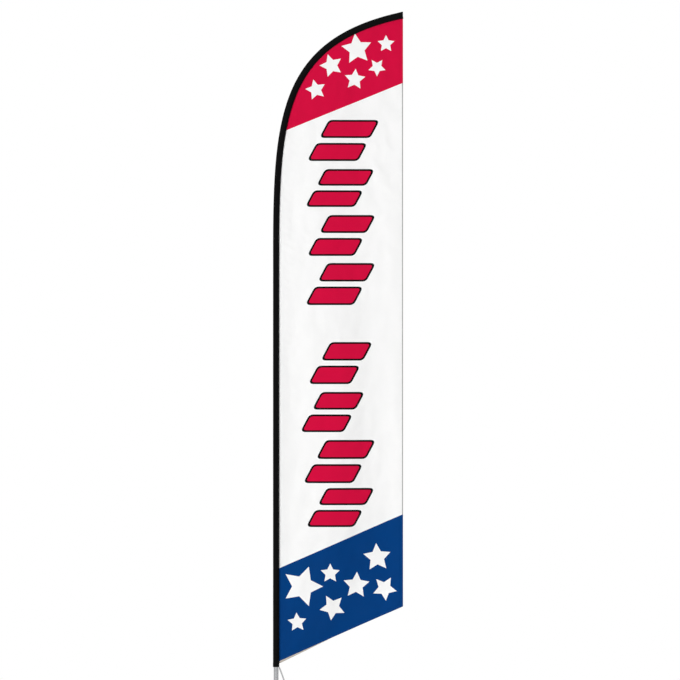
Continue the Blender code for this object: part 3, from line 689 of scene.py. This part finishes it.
def simulate(flat, tris):
    """How far each point stands out once the sheet has hung from its seam in a light breeze."""
    mesh = bpy.data.meshes.new("hanging")
    start_y = drape(flat[:, 0], flat[:, 1])
    mesh.from_pydata([(x, y, z) for (x, z), y in zip(flat, start_y)], [], tris.tolist())
    trial = bpy.data.objects.new("hanging", mesh)
    scene.collection.objects.link(trial)
    held = trial.vertex_groups.new(name="held")
    seam_tree = kdtree.KDTree(len(cut))
    for k, p in enumerate(cut):
        seam_tree.insert((p[0], p[1], 0), k)
    seam_tree.balance()
    seam_count = len(cut) - 2
    for k, (x, z) in enumerate(flat):
        _, which, distance = seam_tree.find((x, z, 0))
        if which < seam_count and distance < 0.012:
            held.add([k], 1.0, "REPLACE")
    cloth = trial.modifiers.new("Cloth", "CLOTH")
    s = cloth.settings
    s.quality = 6
    s.mass = 0.0004
    s.tension_stiffness = s.compression_stiffness = 12.0
    s.shear_stiffness = 4.0
    s.bending_stiffness = 0.05
    s.air_damping = 2.0
    s.vertex_group_mass = "held"
    cloth.collision_settings.use_collision = False
    breeze = bpy.data.objects.new("breeze", None)
    scene.collection.objects.link(breeze)
    breeze.rotation_euler = (math.radians(90), 0, math.radians(30))
    breeze.location = (0.3, -1.0, 2.0)
    bpy.context.view_layer.objects.active = breeze
    with bpy.context.temp_override(object=breeze, active_object=breeze):
        bpy.ops.object.forcefield_toggle()
    breeze.field.type = "WIND"
    breeze.field.strength = 1.2
    breeze.field.noise = 1.5
    breeze.field.seed = 4
    cloth.point_cache.frame_end = SIM_FRAMES
    for f in range(1, SIM_FRAMES + 1):
        scene.frame_set(f)
    evaluated = trial.evaluated_get(bpy.context.evaluated_depsgraph_get())
    hung = np.array([v.co for v in evaluated.data.vertices])
    bpy.data.objects.remove(trial, do_unlink=True)
    bpy.data.objects.remove(breeze, do_unlink=True)
    scene.frame_set(1)
    return hung[:, 1]


SIM_CELL = 0.032
SIM_FRAMES = 45
MOST_OUT = 0.015
rough_flat, rough_tris = sheet_mesh(SIM_CELL, False)
stands_out = MOST_OUT * np.tanh(simulate(rough_flat, rough_tris) / MOST_OUT)
sim_tree = kdtree.KDTree(len(rough_flat))
for k, (x, z) in enumerate(rough_flat):
    sim_tree.insert((x, z, 0), k)
sim_tree.balance()


def hang(x, z):
    """How far the hung cloth stands out of its plane at the point (x, z)."""
    total = weights = 0.0
    for _, k, distance in sim_tree.find_n((x, z, 0), 14):
        w = math.exp(-((distance / (0.75 * SIM_CELL)) ** 2))
        total += float(stands_out[k]) * w
        weights += w
    beside = max(0.0, x - SLEEVE_HALF_WIDTH)
    below = max(0.0, float(upper_edge(x)) - z)
    return total / weights * min(1.0, beside / 0.05, below / 0.04)


def creases(x, z):
    """Small folds: slanting pulls across the cloth, and puckers beside its seams."""
    beside = max(x - SLEEVE_HALF_WIDTH, 0.0)
    below = max(float(upper_edge(x)) - z, 0.0)
    free = beside * below / (math.hypot(beside, below) + 1e-6)
    above = max(z - lower_edge(x), 0.0) * 0.91
    left = max(FLAG_REACH - x, 0.0)
    warp = noise.noise(Vector((x * 3.0, 0.0, z * 1.6)))
    where = noise.noise(Vector((x * 2.1 + 7.0, 4.0, z * 1.1)))
    pull = math.sin(TURN * (0.82 * z + 0.57 * x + 0.10 * warp) / 0.150)
    pull *= 0.0016 * min(1.0, max(0.0, 0.45 + 1.8 * where)) * (1 - math.exp(-free / 0.08))
    wander = 0.9 * noise.noise(Vector((x * 9.0, 2.0, z * 9.0)))
    seam_pucker = 0.0010 * math.sin(TURN * (z + 0.7 * x) / 0.047 + wander) * math.exp(-free / 0.050)
    hem_pucker = 0.0007 * math.sin(TURN * x / 0.041 + wander) * math.exp(-above / 0.035)
    fly_pucker = 0.0009 * math.sin(TURN * z / 0.049 + wander) * math.exp(-left / 0.035)
    settle = min(1.0, free / 0.012)
    return (pull + seam_pucker + hem_pucker + fly_pucker) * settle


def hung(x, z, out=0.0):
    return Vector((x, hang(x, z) + out + creases(x, z), z))


flat, tris = sheet_mesh(CELL, True)
zones = print_zone(flat[tris].mean(axis=1))
panel = add_piece(
    "flag_sheet",
    [hung(x, z) for x, z in flat],
    tris.tolist(),
    PRINT + REVERSE,
    indices=zones,
    closed=False,
)
CLOTH = 0.0006
shell = panel.modifiers.new("Cloth", "SOLIDIFY")
shell.thickness = CLOTH
shell.offset = 0.0
shell.material_offset = len(PRINT)
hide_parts("flag_panel")
a, b, c = (flat[tris[:, k]] for k in range(3))


# Stitches -----------------------------------------------------------------------------
class Stitches:
    """Rows of separate raised stitches, gathered into one piece."""

    def __init__(self):
        self.verts, self.faces, self.indices = [], [], []

    def row(self, points, outward, index, length=0.0030, gap=0.0012, wide=0.00035, high=0.0004):
        """Stitches along points. outward and index give each one's normal and material."""
        points = [Vector(p) for p in points]
        run = np.concatenate([[0], np.cumsum([(q - p).length for p, q in zip(points, points[1:])])])
        columns = np.array([tuple(p) for p in points])
        count = int(run[-1] // (length + gap))
        for k in range(count):
            s = (k + 0.5) * run[-1] / count
            ends = [
                Vector([np.interp(t, run, columns[:, c]) for c in range(3)])
                for t in (s - length / 2, s + length / 2)
            ]
            normal = outward(s / run[-1]) if callable(outward) else Vector(outward)
            ahead = (ends[1] - ends[0]).normalized()
            side = ahead.cross(normal).normalized() * wide
            up = normal * high
            base = len(self.verts)
            self.verts.append(ends[0] - up * 0.5)
            for t in (0.25, 0.75):
                middle = ends[0].lerp(ends[1], t)
                self.verts += [middle + side, middle + up, middle - side, middle - up * 0.6]
            self.verts.append(ends[1] - up * 0.5)
            for i in range(4):
                j = (i + 1) % 4
                self.faces.append((base, base + 1 + j, base + 1 + i))
                self.faces.append((base + 1 + i, base + 1 + j, base + 5 + j, base + 5 + i))
                self.faces.append((base + 9, base + 5 + i, base + 5 + j))
            self.indices += [index(ends[0]) if callable(index) else index] * 12

    def piece(self, name):
        return add_piece(name, self.verts, self.faces, THREADS, indices=self.indices)


def print_at(point):
    """The band of the print at a point of the free edge."""
    if point.z > red_line(point.x):
        return IN_RED
    return IN_BLUE if point.z < blue_line(point.x) else IN_WHITE


# Hems ---------------------------------------------------------------------------------
HEM_HALF = 0.0011
HEM_PUCKER = 0.00025
EDGE_BAND = 0.0052  # overlocked outer part of the fly hem
TOP_SLOPE = 0.212  # of the sleeve's edge at its end


def hem_profile(width, half, corner=0.0010, steps=4):
    """A flat folded strip's section: (across from its outer edge, out of the cloth)."""
    points = []
    for k in range(steps + 1):
        a = math.pi / 2 - math.pi * k / steps
        points.append((corner - corner * math.cos(a), half * math.sin(a)))
    inner = [(width * t, -half) for t in (0.30, 0.62, 0.97)]
    points += inner + [(width, -half * 0.55), (width, half * 0.55)]
    points += [(x, half) for x, _ in inner[::-1]]
    return points


UNDER_WRAP = 0.0042  # the fold starts under the overlocked thread
fly_profile = [(x + UNDER_WRAP, out) for x, out in hem_profile(HEM - UNDER_WRAP, HEM_HALF)]
fly_low = lower_edge(FLAG_REACH)
fly_high = float(upper_edge(FLAG_REACH)) - 0.001
red_z, blue_z = red_line(FLAG_REACH), blue_line(FLAG_REACH)
stations = sorted([*np.linspace(fly_low, fly_high, 300), red_z, blue_z])


def fly_slope(z):
    """Slope of the print's lines and edges where they reach the free edge."""
    heights = [fly_low, blue_z, red_z, fly_high]
    return float(np.interp(z, heights, [EDGE_SLOPE, BLUE_SLOPE, RED_SLOPE, TOP_SLOPE]))


def puckered(out, along, pitch, across):
    """A hem's surface, drawn in a little at each stitch."""
    pucker = HEM_PUCKER * math.sin(TURN * along / pitch + across * 90)
    return out + pucker * (out > 0) - pucker * (out < 0)


rows, indices = [], []
for z in stations:
    row = []
    for across, out in fly_profile:
        out = puckered(out, z, 0.021, across)
        row.append(hung(FLAG_REACH - across, z - across * fly_slope(z), out))
    rows.append(row)
for low in stations[:-1]:
    zone = IN_RED if low >= red_z - 1e-6 else IN_BLUE if low < blue_z - 1e-6 else IN_WHITE
    indices += [zone] * len(fly_profile)
verts, faces = skin(rows, start_cap=True, end_cap=True)
fly_hem = add_piece("fly_hem_fold", verts, faces, PRINT, indices=indices + [IN_BLUE, IN_RED])
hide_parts("fly_hem")

# Overlocked thread wrapped round the free edge. Its grey stretch beside the white print is painted
# shade: the shadow line of the folded edge
WRAP_PITCH = 0.0030
WRAP_SIDES = 12
wrap_profile = []
for k in range(WRAP_SIDES):
    a = TURN * k / WRAP_SIDES
    reach = [math.copysign(abs(c) ** 0.6, c) for c in (math.cos(a), math.sin(a))]
    wrap_profile.append((EDGE_BAND / 2 * (1 + reach[0]), (HEM_HALF + 0.0004) * reach[1]))
rows, indices = [], []
wrap_z = np.arange(fly_low + 0.001, fly_high + 0.0004, WRAP_PITCH / 4)
for step, z in enumerate(wrap_z):
    swell = 1.0 + 0.12 * math.sin(TURN * step / 4)
    row = []
    for across, out in wrap_profile:
        row.append(hung(FLAG_REACH - across + 0.0002, z - across * fly_slope(z), out * swell))
    rows.append(row)
# The grey middle slot is painted shade along the white stretch of the free edge
wrap_slots = [print_red, edge_shade_grey, print_blue]
for z in wrap_z[:-1]:
    indices += [0 if z > red_z - 0.001 else 2 if z < blue_z - 0.001 else 1] * WRAP_SIDES
verts, faces = skin(rows, start_cap=True, end_cap=True)
overlock = add_piece("fly_edge_overlock", verts, faces, wrap_slots, indices=indices + [2, 0])

# Bottom hem
bottom_left = SLEEVE_HALF_WIDTH - 0.001
bottom_right = FLAG_REACH - 0.0015
bottom_profile = hem_profile(HEM, HEM_HALF)
rows = []
for x in np.linspace(bottom_left, bottom_right, 90):
    row = []
    for across, out in bottom_profile:
        out = puckered(out, x, 0.019, across)
        row.append(hung(x - across * EDGE_SLOPE * 0.3, lower_edge(x) + across, out))
    rows.append(row)
verts, faces = skin(rows, start_cap=True, end_cap=True)
bottom_hem = add_piece("bottom_hem_fold", verts, faces, print_blue)
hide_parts("bottom_hem")

# A thin beige-grey strip along the bottom hem, which shows below the print beside the sleeve and
# drops less far further out
STRIP_DROP = 0.0125
STRIP_END = 0.300
STRIP_HALF = 0.0003
rows = []
for x in np.linspace(bottom_left, STRIP_END, 40):
    share = (x - bottom_left) / (STRIP_END - bottom_left)
    drop = STRIP_DROP * (1 - share) ** 0.9
    section = [(rise, STRIP_HALF) for rise in (0.009, -drop * 0.5, -drop)]
    section = [(0.009, -STRIP_HALF), *section, (-drop, -STRIP_HALF), (-drop * 0.5, -STRIP_HALF)]
    rows.append([hung(x, lower_edge(x) + rise, out) for rise, out in section])
verts, faces = skin(rows, start_cap=True, end_cap=True)
hanging_strip = add_piece("bottom_edge_strip", verts, faces, beige_edge_strip)

hem_stitches = Stitches()
for side in (-1, 1):
    out = side * (HEM_HALF + 0.0001)
    for across in (0.0066, 0.0103):
        heights = np.linspace(fly_low + 0.008, fly_high - 0.004, 500)
        line = [hung(FLAG_REACH - across, z - across * fly_slope(z), out) for z in heights]
        hem_stitches.row(line, (0, side, 0), print_at)
    for across in (0.0032, 0.0090):
        places = np.linspace(bottom_left + 0.004, bottom_right - 0.004, 150)
        line = [hung(x, lower_edge(x) + across, out) for x in places]
        hem_stitches.row(line, (0, side, 0), IN_BLUE)
stitched = hem_stitches.piece("hem_stitching")


# Sleeve -------------------------------------------------------------------------------
SLEEVE_SIDES = 44
PINCH = 0.52  # how far round from its seam the sleeve is drawn together
FLANGE_HALF = 0.0006


def sleeve_section(run, extra=0.0, wrinkled=True, sides=SLEEVE_SIDES):
    """One closed row of the sleeve: round the pole, and drawn flat along its seam."""
    ahead, inward = along_line(run)
    if run >= LINE_END:
        inward = Vector((0, 0, -1 / ahead.x))
    centre = on_line(run)
    wide, deep = half_width(run) + extra, half_depth(run) + extra
    bent = bend_share(run)
    row = []
    for i in range(sides):
        a = TURN * i / sides
        b = a if a <= math.pi else TURN - a
        drawn = 1.0 - math.exp(-((b / PINCH) ** 2))
        across = wide * math.cos(a)
        out = deep * math.sin(a) * drawn
        out += math.copysign(FLANGE_HALF + extra, math.sin(a)) * (1 - drawn) * (0 if i == 0 else 1)
        if wrinkled:
            soft = noise.noise(Vector((run * 5.0, 2.2 * math.cos(a), 2.2 * math.sin(a))))
            fine = noise.noise(Vector((run * 26.0, 5 * math.cos(a), 5 * math.sin(a) + 9)))
            gather = math.sin(TURN * run / 0.043 + 2.5 * noise.noise(Vector((run * 6, 0, 3))))
            squeezed = 4 * bent * (1 - bent) if bent > 0 else 0.0
            lift = drawn * (0.0006 * soft + 0.0003 * fine)
            lift += drawn * squeezed * 0.00055 * gather * max(0.0, math.cos(a)) ** 0.5
            across += lift * math.cos(a) * 0.4
            out += lift * math.sin(a) * 1.6 + math.copysign(lift * 0.5, math.sin(a))
        row.append(centre + inward * across + Vector((0, out, 0)))
    return row


sleeve_runs = [float(r) for r in np.linspace(MOUTH_Z, BEND_START_Z, 230)[:-1]]
sleeve_runs += [float(r) for r in np.linspace(BEND_START_Z, LINE_END, 210)]
rows = [sleeve_section(run) for run in sleeve_runs]
verts, faces = skin(rows, end_cap=True)
sleeve = add_piece("pole_sleeve_cloth", verts, faces, sleeve_black, closed=False)
shell = sleeve.modifiers.new("Cloth", "SOLIDIFY")
shell.thickness = 0.0005
shell.offset = -1.0
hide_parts("pole_sleeve")

# Turned-up band at the sleeve's mouth: (height above the mouth, out from the sleeve)
BAND_TOP = MOUTH_Z + 0.025
MOUTH_INNER = [(0.0040, -0.0008), (0.0006, -0.0006), (0.0000, -0.0001)]
MOUTH_OUTER = [(0.0006, 0.0004), (0.0030, 0.0005), (0.0120, 0.0006), (0.0220, 0.0005)]
MOUTH_UPPER = [(0.0244, 0.0004), (0.0250, 0.0000), (0.0250, -0.0004)]
rows = []
for rise, extra in MOUTH_INNER + MOUTH_OUTER + MOUTH_UPPER:
    row = sleeve_section(MOUTH_Z + rise, extra)
    rows.append([Vector((p.x, p.y, MOUTH_Z + rise)) for p in row])
verts, faces = skin(rows)
band = add_piece("sleeve_mouth_band", verts, faces, sleeve_black, closed=False)
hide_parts("sleeve_mouth_binding")

# Stitching on the sleeve: along its seam on both faces, round its mouth and over its end
sleeve_stitches = Stitches()
for side in (-1, 1):
    for across in (0.0010, 0.0030):
        line = []
        for run in np.linspace(MOUTH_Z + 0.028, LINE_END - 0.004, 700):
            ahead, inward = along_line(run)
            wide, deep = half_width(run), half_depth(run)
            a = math.acos(1 - across / wide)
            drawn = 1.0 - math.exp(-((a / PINCH) ** 2))
            out = deep * math.sin(a) * drawn + FLANGE_HALF * (1 - drawn) + 0.0001
            line.append(on_line(run) + inward * (wide - across) + Vector((0, side * out, 0)))
        sleeve_stitches.row(line, (0, side, 0), IN_BLACK)
for z in (MOUTH_Z + 0.0035, BAND_TOP - 0.0035):
    ring_line = sleeve_section(z, 0.0006, sides=120)
    ring_line = [Vector((p.x, p.y, z)) for p in ring_line]
    middle = Vector((0, 0, z))

    def away(share, ring_line=ring_line, middle=middle):
        p = ring_line[int(share * (len(ring_line) - 1))]
        return (p - middle).normalized()

    sleeve_stitches.row(ring_line + ring_line[:1], away, IN_BLACK)
for side in (-1, 1):
    for back in (0.006, 0.012):
        line = sleeve_section(LINE_END - back, 0.0006, sides=120)
        line = line[6:55] if side > 0 else line[66:115]
        sleeve_stitches.row(line, (0, side, 0), IN_BLACK)
stitched = sleeve_stitches.piece("sleeve_stitching")

# Doubled band over the sleeve's closed end
END_BAND = 0.016
END_START = [(END_BAND, -0.0001), (END_BAND - 0.0004, 0.0004), (END_BAND - 0.004, 0.0005)]
END_OVER = [(0.008, 0.0006), (0.004, 0.0005), (0.0012, 0.0004), (0.0, 0.0001), (0.0, -0.0006)]
rows = []
for back, extra in END_START + END_OVER:
    rows.append(sleeve_section(LINE_END - back, extra))
verts, faces = skin(rows, end_cap=True)
end_band = add_piece("sleeve_end_band", verts, faces, sleeve_black, closed=False)


# Carried-over CAD nodes ---------------------------------------------------------------
aluminium = metal_finish("aluminium_drawn", (0.52, 0.53, 0.545), 0.34)
zinc = metal_finish("zinc_plate", (0.62, 0.63, 0.65), 0.34, "none")
spring = metal_finish("spring_steel_strip", (0.45, 0.45, 0.47), 0.28)
fibreglass = plastic_finish("fibreglass_white", (0.78, 0.78, 0.74), 0.38, 0.03)
black_plastic = plastic_finish("plastic_black", (0.018, 0.018, 0.020), 0.45)
white_nylon = plastic_finish("nylon_white", (0.80, 0.80, 0.78), 0.42, 0.03)
rubber = plastic_finish("rubber_black", (0.022, 0.022, 0.022), 0.85, 0.15, 0.00006, 0.25)
weld_paint = plastic_finish("powder_coat_weld", (0.020, 0.020, 0.021), 0.45, 0.2, 0.00006)
paint = worn_paint("powder_coat_black", (0.020, 0.020, 0.021), (0.55, 0.55, 0.56), 0.42)
FINISHES = {
    "pole_aluminium": aluminium,
    "zinc_steel": zinc,
    "spring_steel": spring,
    "whip_fibreglass": fibreglass,
    "black_plastic": black_plastic,
    "white_nylon": white_nylon,
    "rubber": rubber,
    "painted_steel": paint,
    "sleeve_cloth": sleeve_black,
    "hem_tape": print_white,
    "printed_polyester": print_white,
    "elastic_cord": cord_light,
}
SHARP = math.radians(35)


def shade_round(node):
    """Shades a carried-over node smooth up to its real edges, and leaves its vertices alone."""
    for name in ("custom_normal", "sharp_edge"):
        attribute = node.data.attributes.get(name)
        if attribute is not None:
            node.data.attributes.remove(attribute)
    node.data.shade_smooth()
    weld = node.modifiers.new("Weld", "WELD")
    weld.merge_threshold = 0.00001
    edges = node.modifiers.new("Edges", "EDGE_SPLIT")
    edges.split_angle = SHARP


for row in frame["record"]["subparts"]:
    node, slot = nodes[row["node"]], row["material_slot"]
    node.data.materials.clear()
    node.data.materials.append(FINISHES[slot])
    if not node.hide_render:
        shade_round(node)


# Thumbscrew's fluted knob -------------------------------------------------------------
COLLAR_Z = 0.405
KNOB_FACE = 0.0253  # pole axis to the knob's near face
KNOB_HEIGHT = 0.0080
KNOB_RADIUS = 0.0090
KNOB_FLUTES = 9
KNOB_SIDES = 9 * 16
SCREW_RADIUS = 0.0025
SCREW_TIP = 0.0133
THREAD_PITCH = 0.0008
THREAD_DEPTH = 0.0004


def knob_row(radius, out, flute):
    """A ring round the thumbscrew's axis, drawn in by this much at each flute."""
    row = []
    for i in range(KNOB_SIDES):
        a = TURN * i / KNOB_SIDES
        dip = (0.5 - 0.5 * math.cos(KNOB_FLUTES * a)) ** 2.2
        reach = radius - flute * dip
        row.append(Vector((reach * math.cos(a), -out, COLLAR_Z + reach * math.sin(a))))
    return row


far_face = KNOB_FACE + KNOB_HEIGHT
rows = [knob_row(0.0004, SCREW_TIP, 0), knob_row(SCREW_RADIUS - THREAD_DEPTH, SCREW_TIP, 0)]
for out in np.arange(SCREW_TIP + 0.0004, KNOB_FACE - 0.0004, THREAD_PITCH / 2):
    cut_in = THREAD_DEPTH if round((out - SCREW_TIP) / (THREAD_PITCH / 2)) % 2 else 0.0
    rows.append(knob_row(SCREW_RADIUS - 0.0001 - cut_in, float(out), 0))
rows.append(knob_row(SCREW_RADIUS, KNOB_FACE, 0))
ROUNDING = [  # (in from the knob's radius, back from its face, depth of a flute)
    (0.0020, 0.0000, 0.0010),
    (0.0007, 0.0004, 0.0012),
    (0.0001, 0.0013, 0.0015),
    (0.0000, 0.0022, 0.0016),
]
FAR_ROUNDING = [
    (0.0000, 0.0022, 0.0016),
    (0.0003, 0.0012, 0.0015),
    (0.0009, 0.0004, 0.0012),
    (0.0020, 0.0000, 0.0008),
    (0.0036, 0.0000, 0.0000),
    (0.0041, 0.0006, 0.0000),
    (0.0046, 0.0008, 0.0000),
    (KNOB_RADIUS - 0.0004, 0.0008, 0.0000),
]
rows += [knob_row(KNOB_RADIUS - inset, KNOB_FACE + back, dip) for inset, back, dip in ROUNDING]
rows += [knob_row(KNOB_RADIUS - inset, far_face - back, dip) for inset, back, dip in FAR_ROUNDING]
verts, faces = skin(rows, start_cap=True, end_cap=True)
knob = add_piece("thumbscrew_knob", verts, faces, black_plastic, body="thumbscrew")
knob.data.set_sharp_from_angle(angle=math.radians(40))
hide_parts("collar_thumbscrew")


# Cord's wire hook ---------------------------------------------------------------------
EYE_X = 0.027
HOOK_RADIUS = 0.0017
HOOK_BEND = 0.0065
HOOK_TIP_Z = COLLAR_Z + 0.009
HOOK_TOP_Z = COLLAR_Z + 0.079
HOOK_SIDES = 24
swing_x = EYE_X + HOOK_BEND
line = [Vector((EYE_X, 0, z)) for z in np.linspace(HOOK_TOP_Z, COLLAR_Z, 24)[:-1]]
for k in range(25):
    a = math.pi + math.pi * k / 24
    line.append(Vector((swing_x + HOOK_BEND * math.cos(a), 0, COLLAR_Z + HOOK_BEND * math.sin(a))))
tip_x = EYE_X + 2 * HOOK_BEND
line += [Vector((tip_x, 0, z)) for z in np.linspace(COLLAR_Z, HOOK_TIP_Z - HOOK_RADIUS, 6)[1:]]
rows = []
for k, p in enumerate(line):
    ahead = (line[min(k + 1, len(line) - 1)] - line[max(k - 1, 0)]).normalized()
    side, out = ahead.cross(Vector((0, 1, 0))), Vector((0, 1, 0))
    turns = [TURN * i / HOOK_SIDES for i in range(HOOK_SIDES)]
    rows.append([p + (side * math.cos(a) + out * math.sin(a)) * HOOK_RADIUS for a in turns])
for k in range(1, 6):
    rise, share = math.sin(math.pi / 2 * k / 6), math.cos(math.pi / 2 * k / 6)
    up = Vector((0, 0, HOOK_RADIUS * rise))
    rows.append([line[-1] + up + (p - line[-1]) * share for p in rows[len(line) - 1]])
verts, faces = skin(rows, start_cap=True, end_cap=True)
hook = add_piece("cord_hook_wire", verts, faces, zinc)
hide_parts("cord_hook")


# Weld beads on the stake --------------------------------------------------------------
STAKE_RADIUS = 0.010
WELD_STEP = 0.0016  # from one ripple to the next
WELD_SINK = 0.0004


def weld_bead(name, radius, z, size, rise):
    """A rippled fillet between an upright round and a flat face at z."""
    steps = 6  # rows to a ripple
    count = round(TURN * radius / WELD_STEP) * steps
    root = radius - 2 * WELD_SINK
    rows = []
    for i in range(count):
        a = TURN * i / count
        rough = noise.noise(Vector((9 * math.cos(a), 9 * math.sin(a), radius * 400)))
        swell = 1.0 + 0.05 * math.sin(math.pi * (i % steps) / steps) + 0.12 * rough
        row = []
        for k in range(7):
            b = math.pi / 2 * k / 6
            bulge = 0.24 * size * math.sin(2 * b)
            reach = radius - WELD_SINK + size * swell * (1 - math.sin(b)) + bulge
            up = size * swell * (1 - math.cos(b)) + bulge
            row.append(Vector((reach * math.cos(a), reach * math.sin(a), z + rise * up)))
        row.append(Vector((root * math.cos(a), root * math.sin(a), z - rise * WELD_SINK)))
        rows.append(row)
    verts, faces = skin([*rows, rows[0]])
    bead = add_piece(name, verts, faces, weld_paint, body="ground_stake")


PLATE_TOP = 0.005
weld_bead("weld_bead_upper", STAKE_RADIUS, PLATE_TOP, 0.0032, 1)
weld_bead("weld_bead_lower", STAKE_RADIUS, 0.0, 0.0032, -1)


# Floor, lights and background ---------------------------------------------------------
def floor_finish():
    n = Nodes("floor_pale")
    tone = n.noise(3.0, 5.0)
    n.set(
        Base_Color=n.mix(tone, (0.78, 0.78, 0.77), (0.84, 0.84, 0.83)),
        Roughness=n.ramp(tone, 0.3, 0.7, 0.75, 0.9),
        Specular_IOR_Level=0.2,
        Normal=n.bump(n.noise(140.0, 3.0), 0.0004, 0.3),
    )
    return n.material


FLOOR_HOLE = 0.0115
FLOOR_RADIUS = 9.0
FLOOR_SIDES = 96
rows = []
for radius in (FLOOR_HOLE, 0.2, 1.0, 3.0, FLOOR_RADIUS):
    turns = [TURN * i / FLOOR_SIDES for i in range(FLOOR_SIDES)]
    rows.append([(radius * math.cos(a), radius * math.sin(a), 0) for a in turns])
verts, faces = skin(rows)
mesh = bpy.data.meshes.new("floor")
mesh.from_pydata(verts, [], faces)
mesh.materials.append(floor_finish())
floor = bpy.data.objects.new("floor", mesh)
scene.collection.objects.link(floor)


def area_light(name, at, size, power):
    data = bpy.data.lights.new(name, "AREA")
    data.shape = "SQUARE"
    data.size = size
    data.energy = power
    lamp = bpy.data.objects.new(name, data)
    lamp.location = at
    lamp.rotation_euler = (Vector((0.3, 0, 2.3)) - Vector(at)).to_track_quat("-Z", "Y").to_euler()
    scene.collection.objects.link(lamp)


area_light("key", (-7.5, -7.0, 6.0), 2.5, 690)
area_light("fill", (6.0, -7.0, 3.0), 4.0, 66)
area_light("back", (4.5, 8.0, 5.5), 3.0, 430)

world = bpy.data.worlds.new("studio")
world.use_nodes = True
tree = world.node_tree
sky = tree.nodes["Background"]
direction, height, sky_ramp, plain, seen, both = (
    tree.nodes.new("ShaderNode" + kind)
    for kind in ("TexCoord", "SeparateXYZ", "MapRange", "Background", "LightPath", "MixShader")
)
for k, value in ((1, -0.6), (2, 0.9), (3, 0.30), (4, 0.72)):
    sky_ramp.inputs[k].default_value = value
sky.inputs["Color"].default_value = plain.inputs["Color"].default_value = (1, 1, 1, 1)
for output, socket in (
    (direction.outputs["Generated"], height.inputs[0]),
    (height.outputs[2], sky_ramp.inputs[0]),
    (sky_ramp.outputs[0], sky.inputs["Strength"]),
    (seen.outputs["Is Camera Ray"], both.inputs[0]),
    (sky.outputs[0], both.inputs[1]),
    (plain.outputs[0], both.inputs[2]),
    (both.outputs[0], tree.nodes["World Output"].inputs[0]),
):
    tree.links.new(output, socket)
scene.world = world
scene.view_settings.view_transform = "Standard"
scene.view_settings.look = "None"
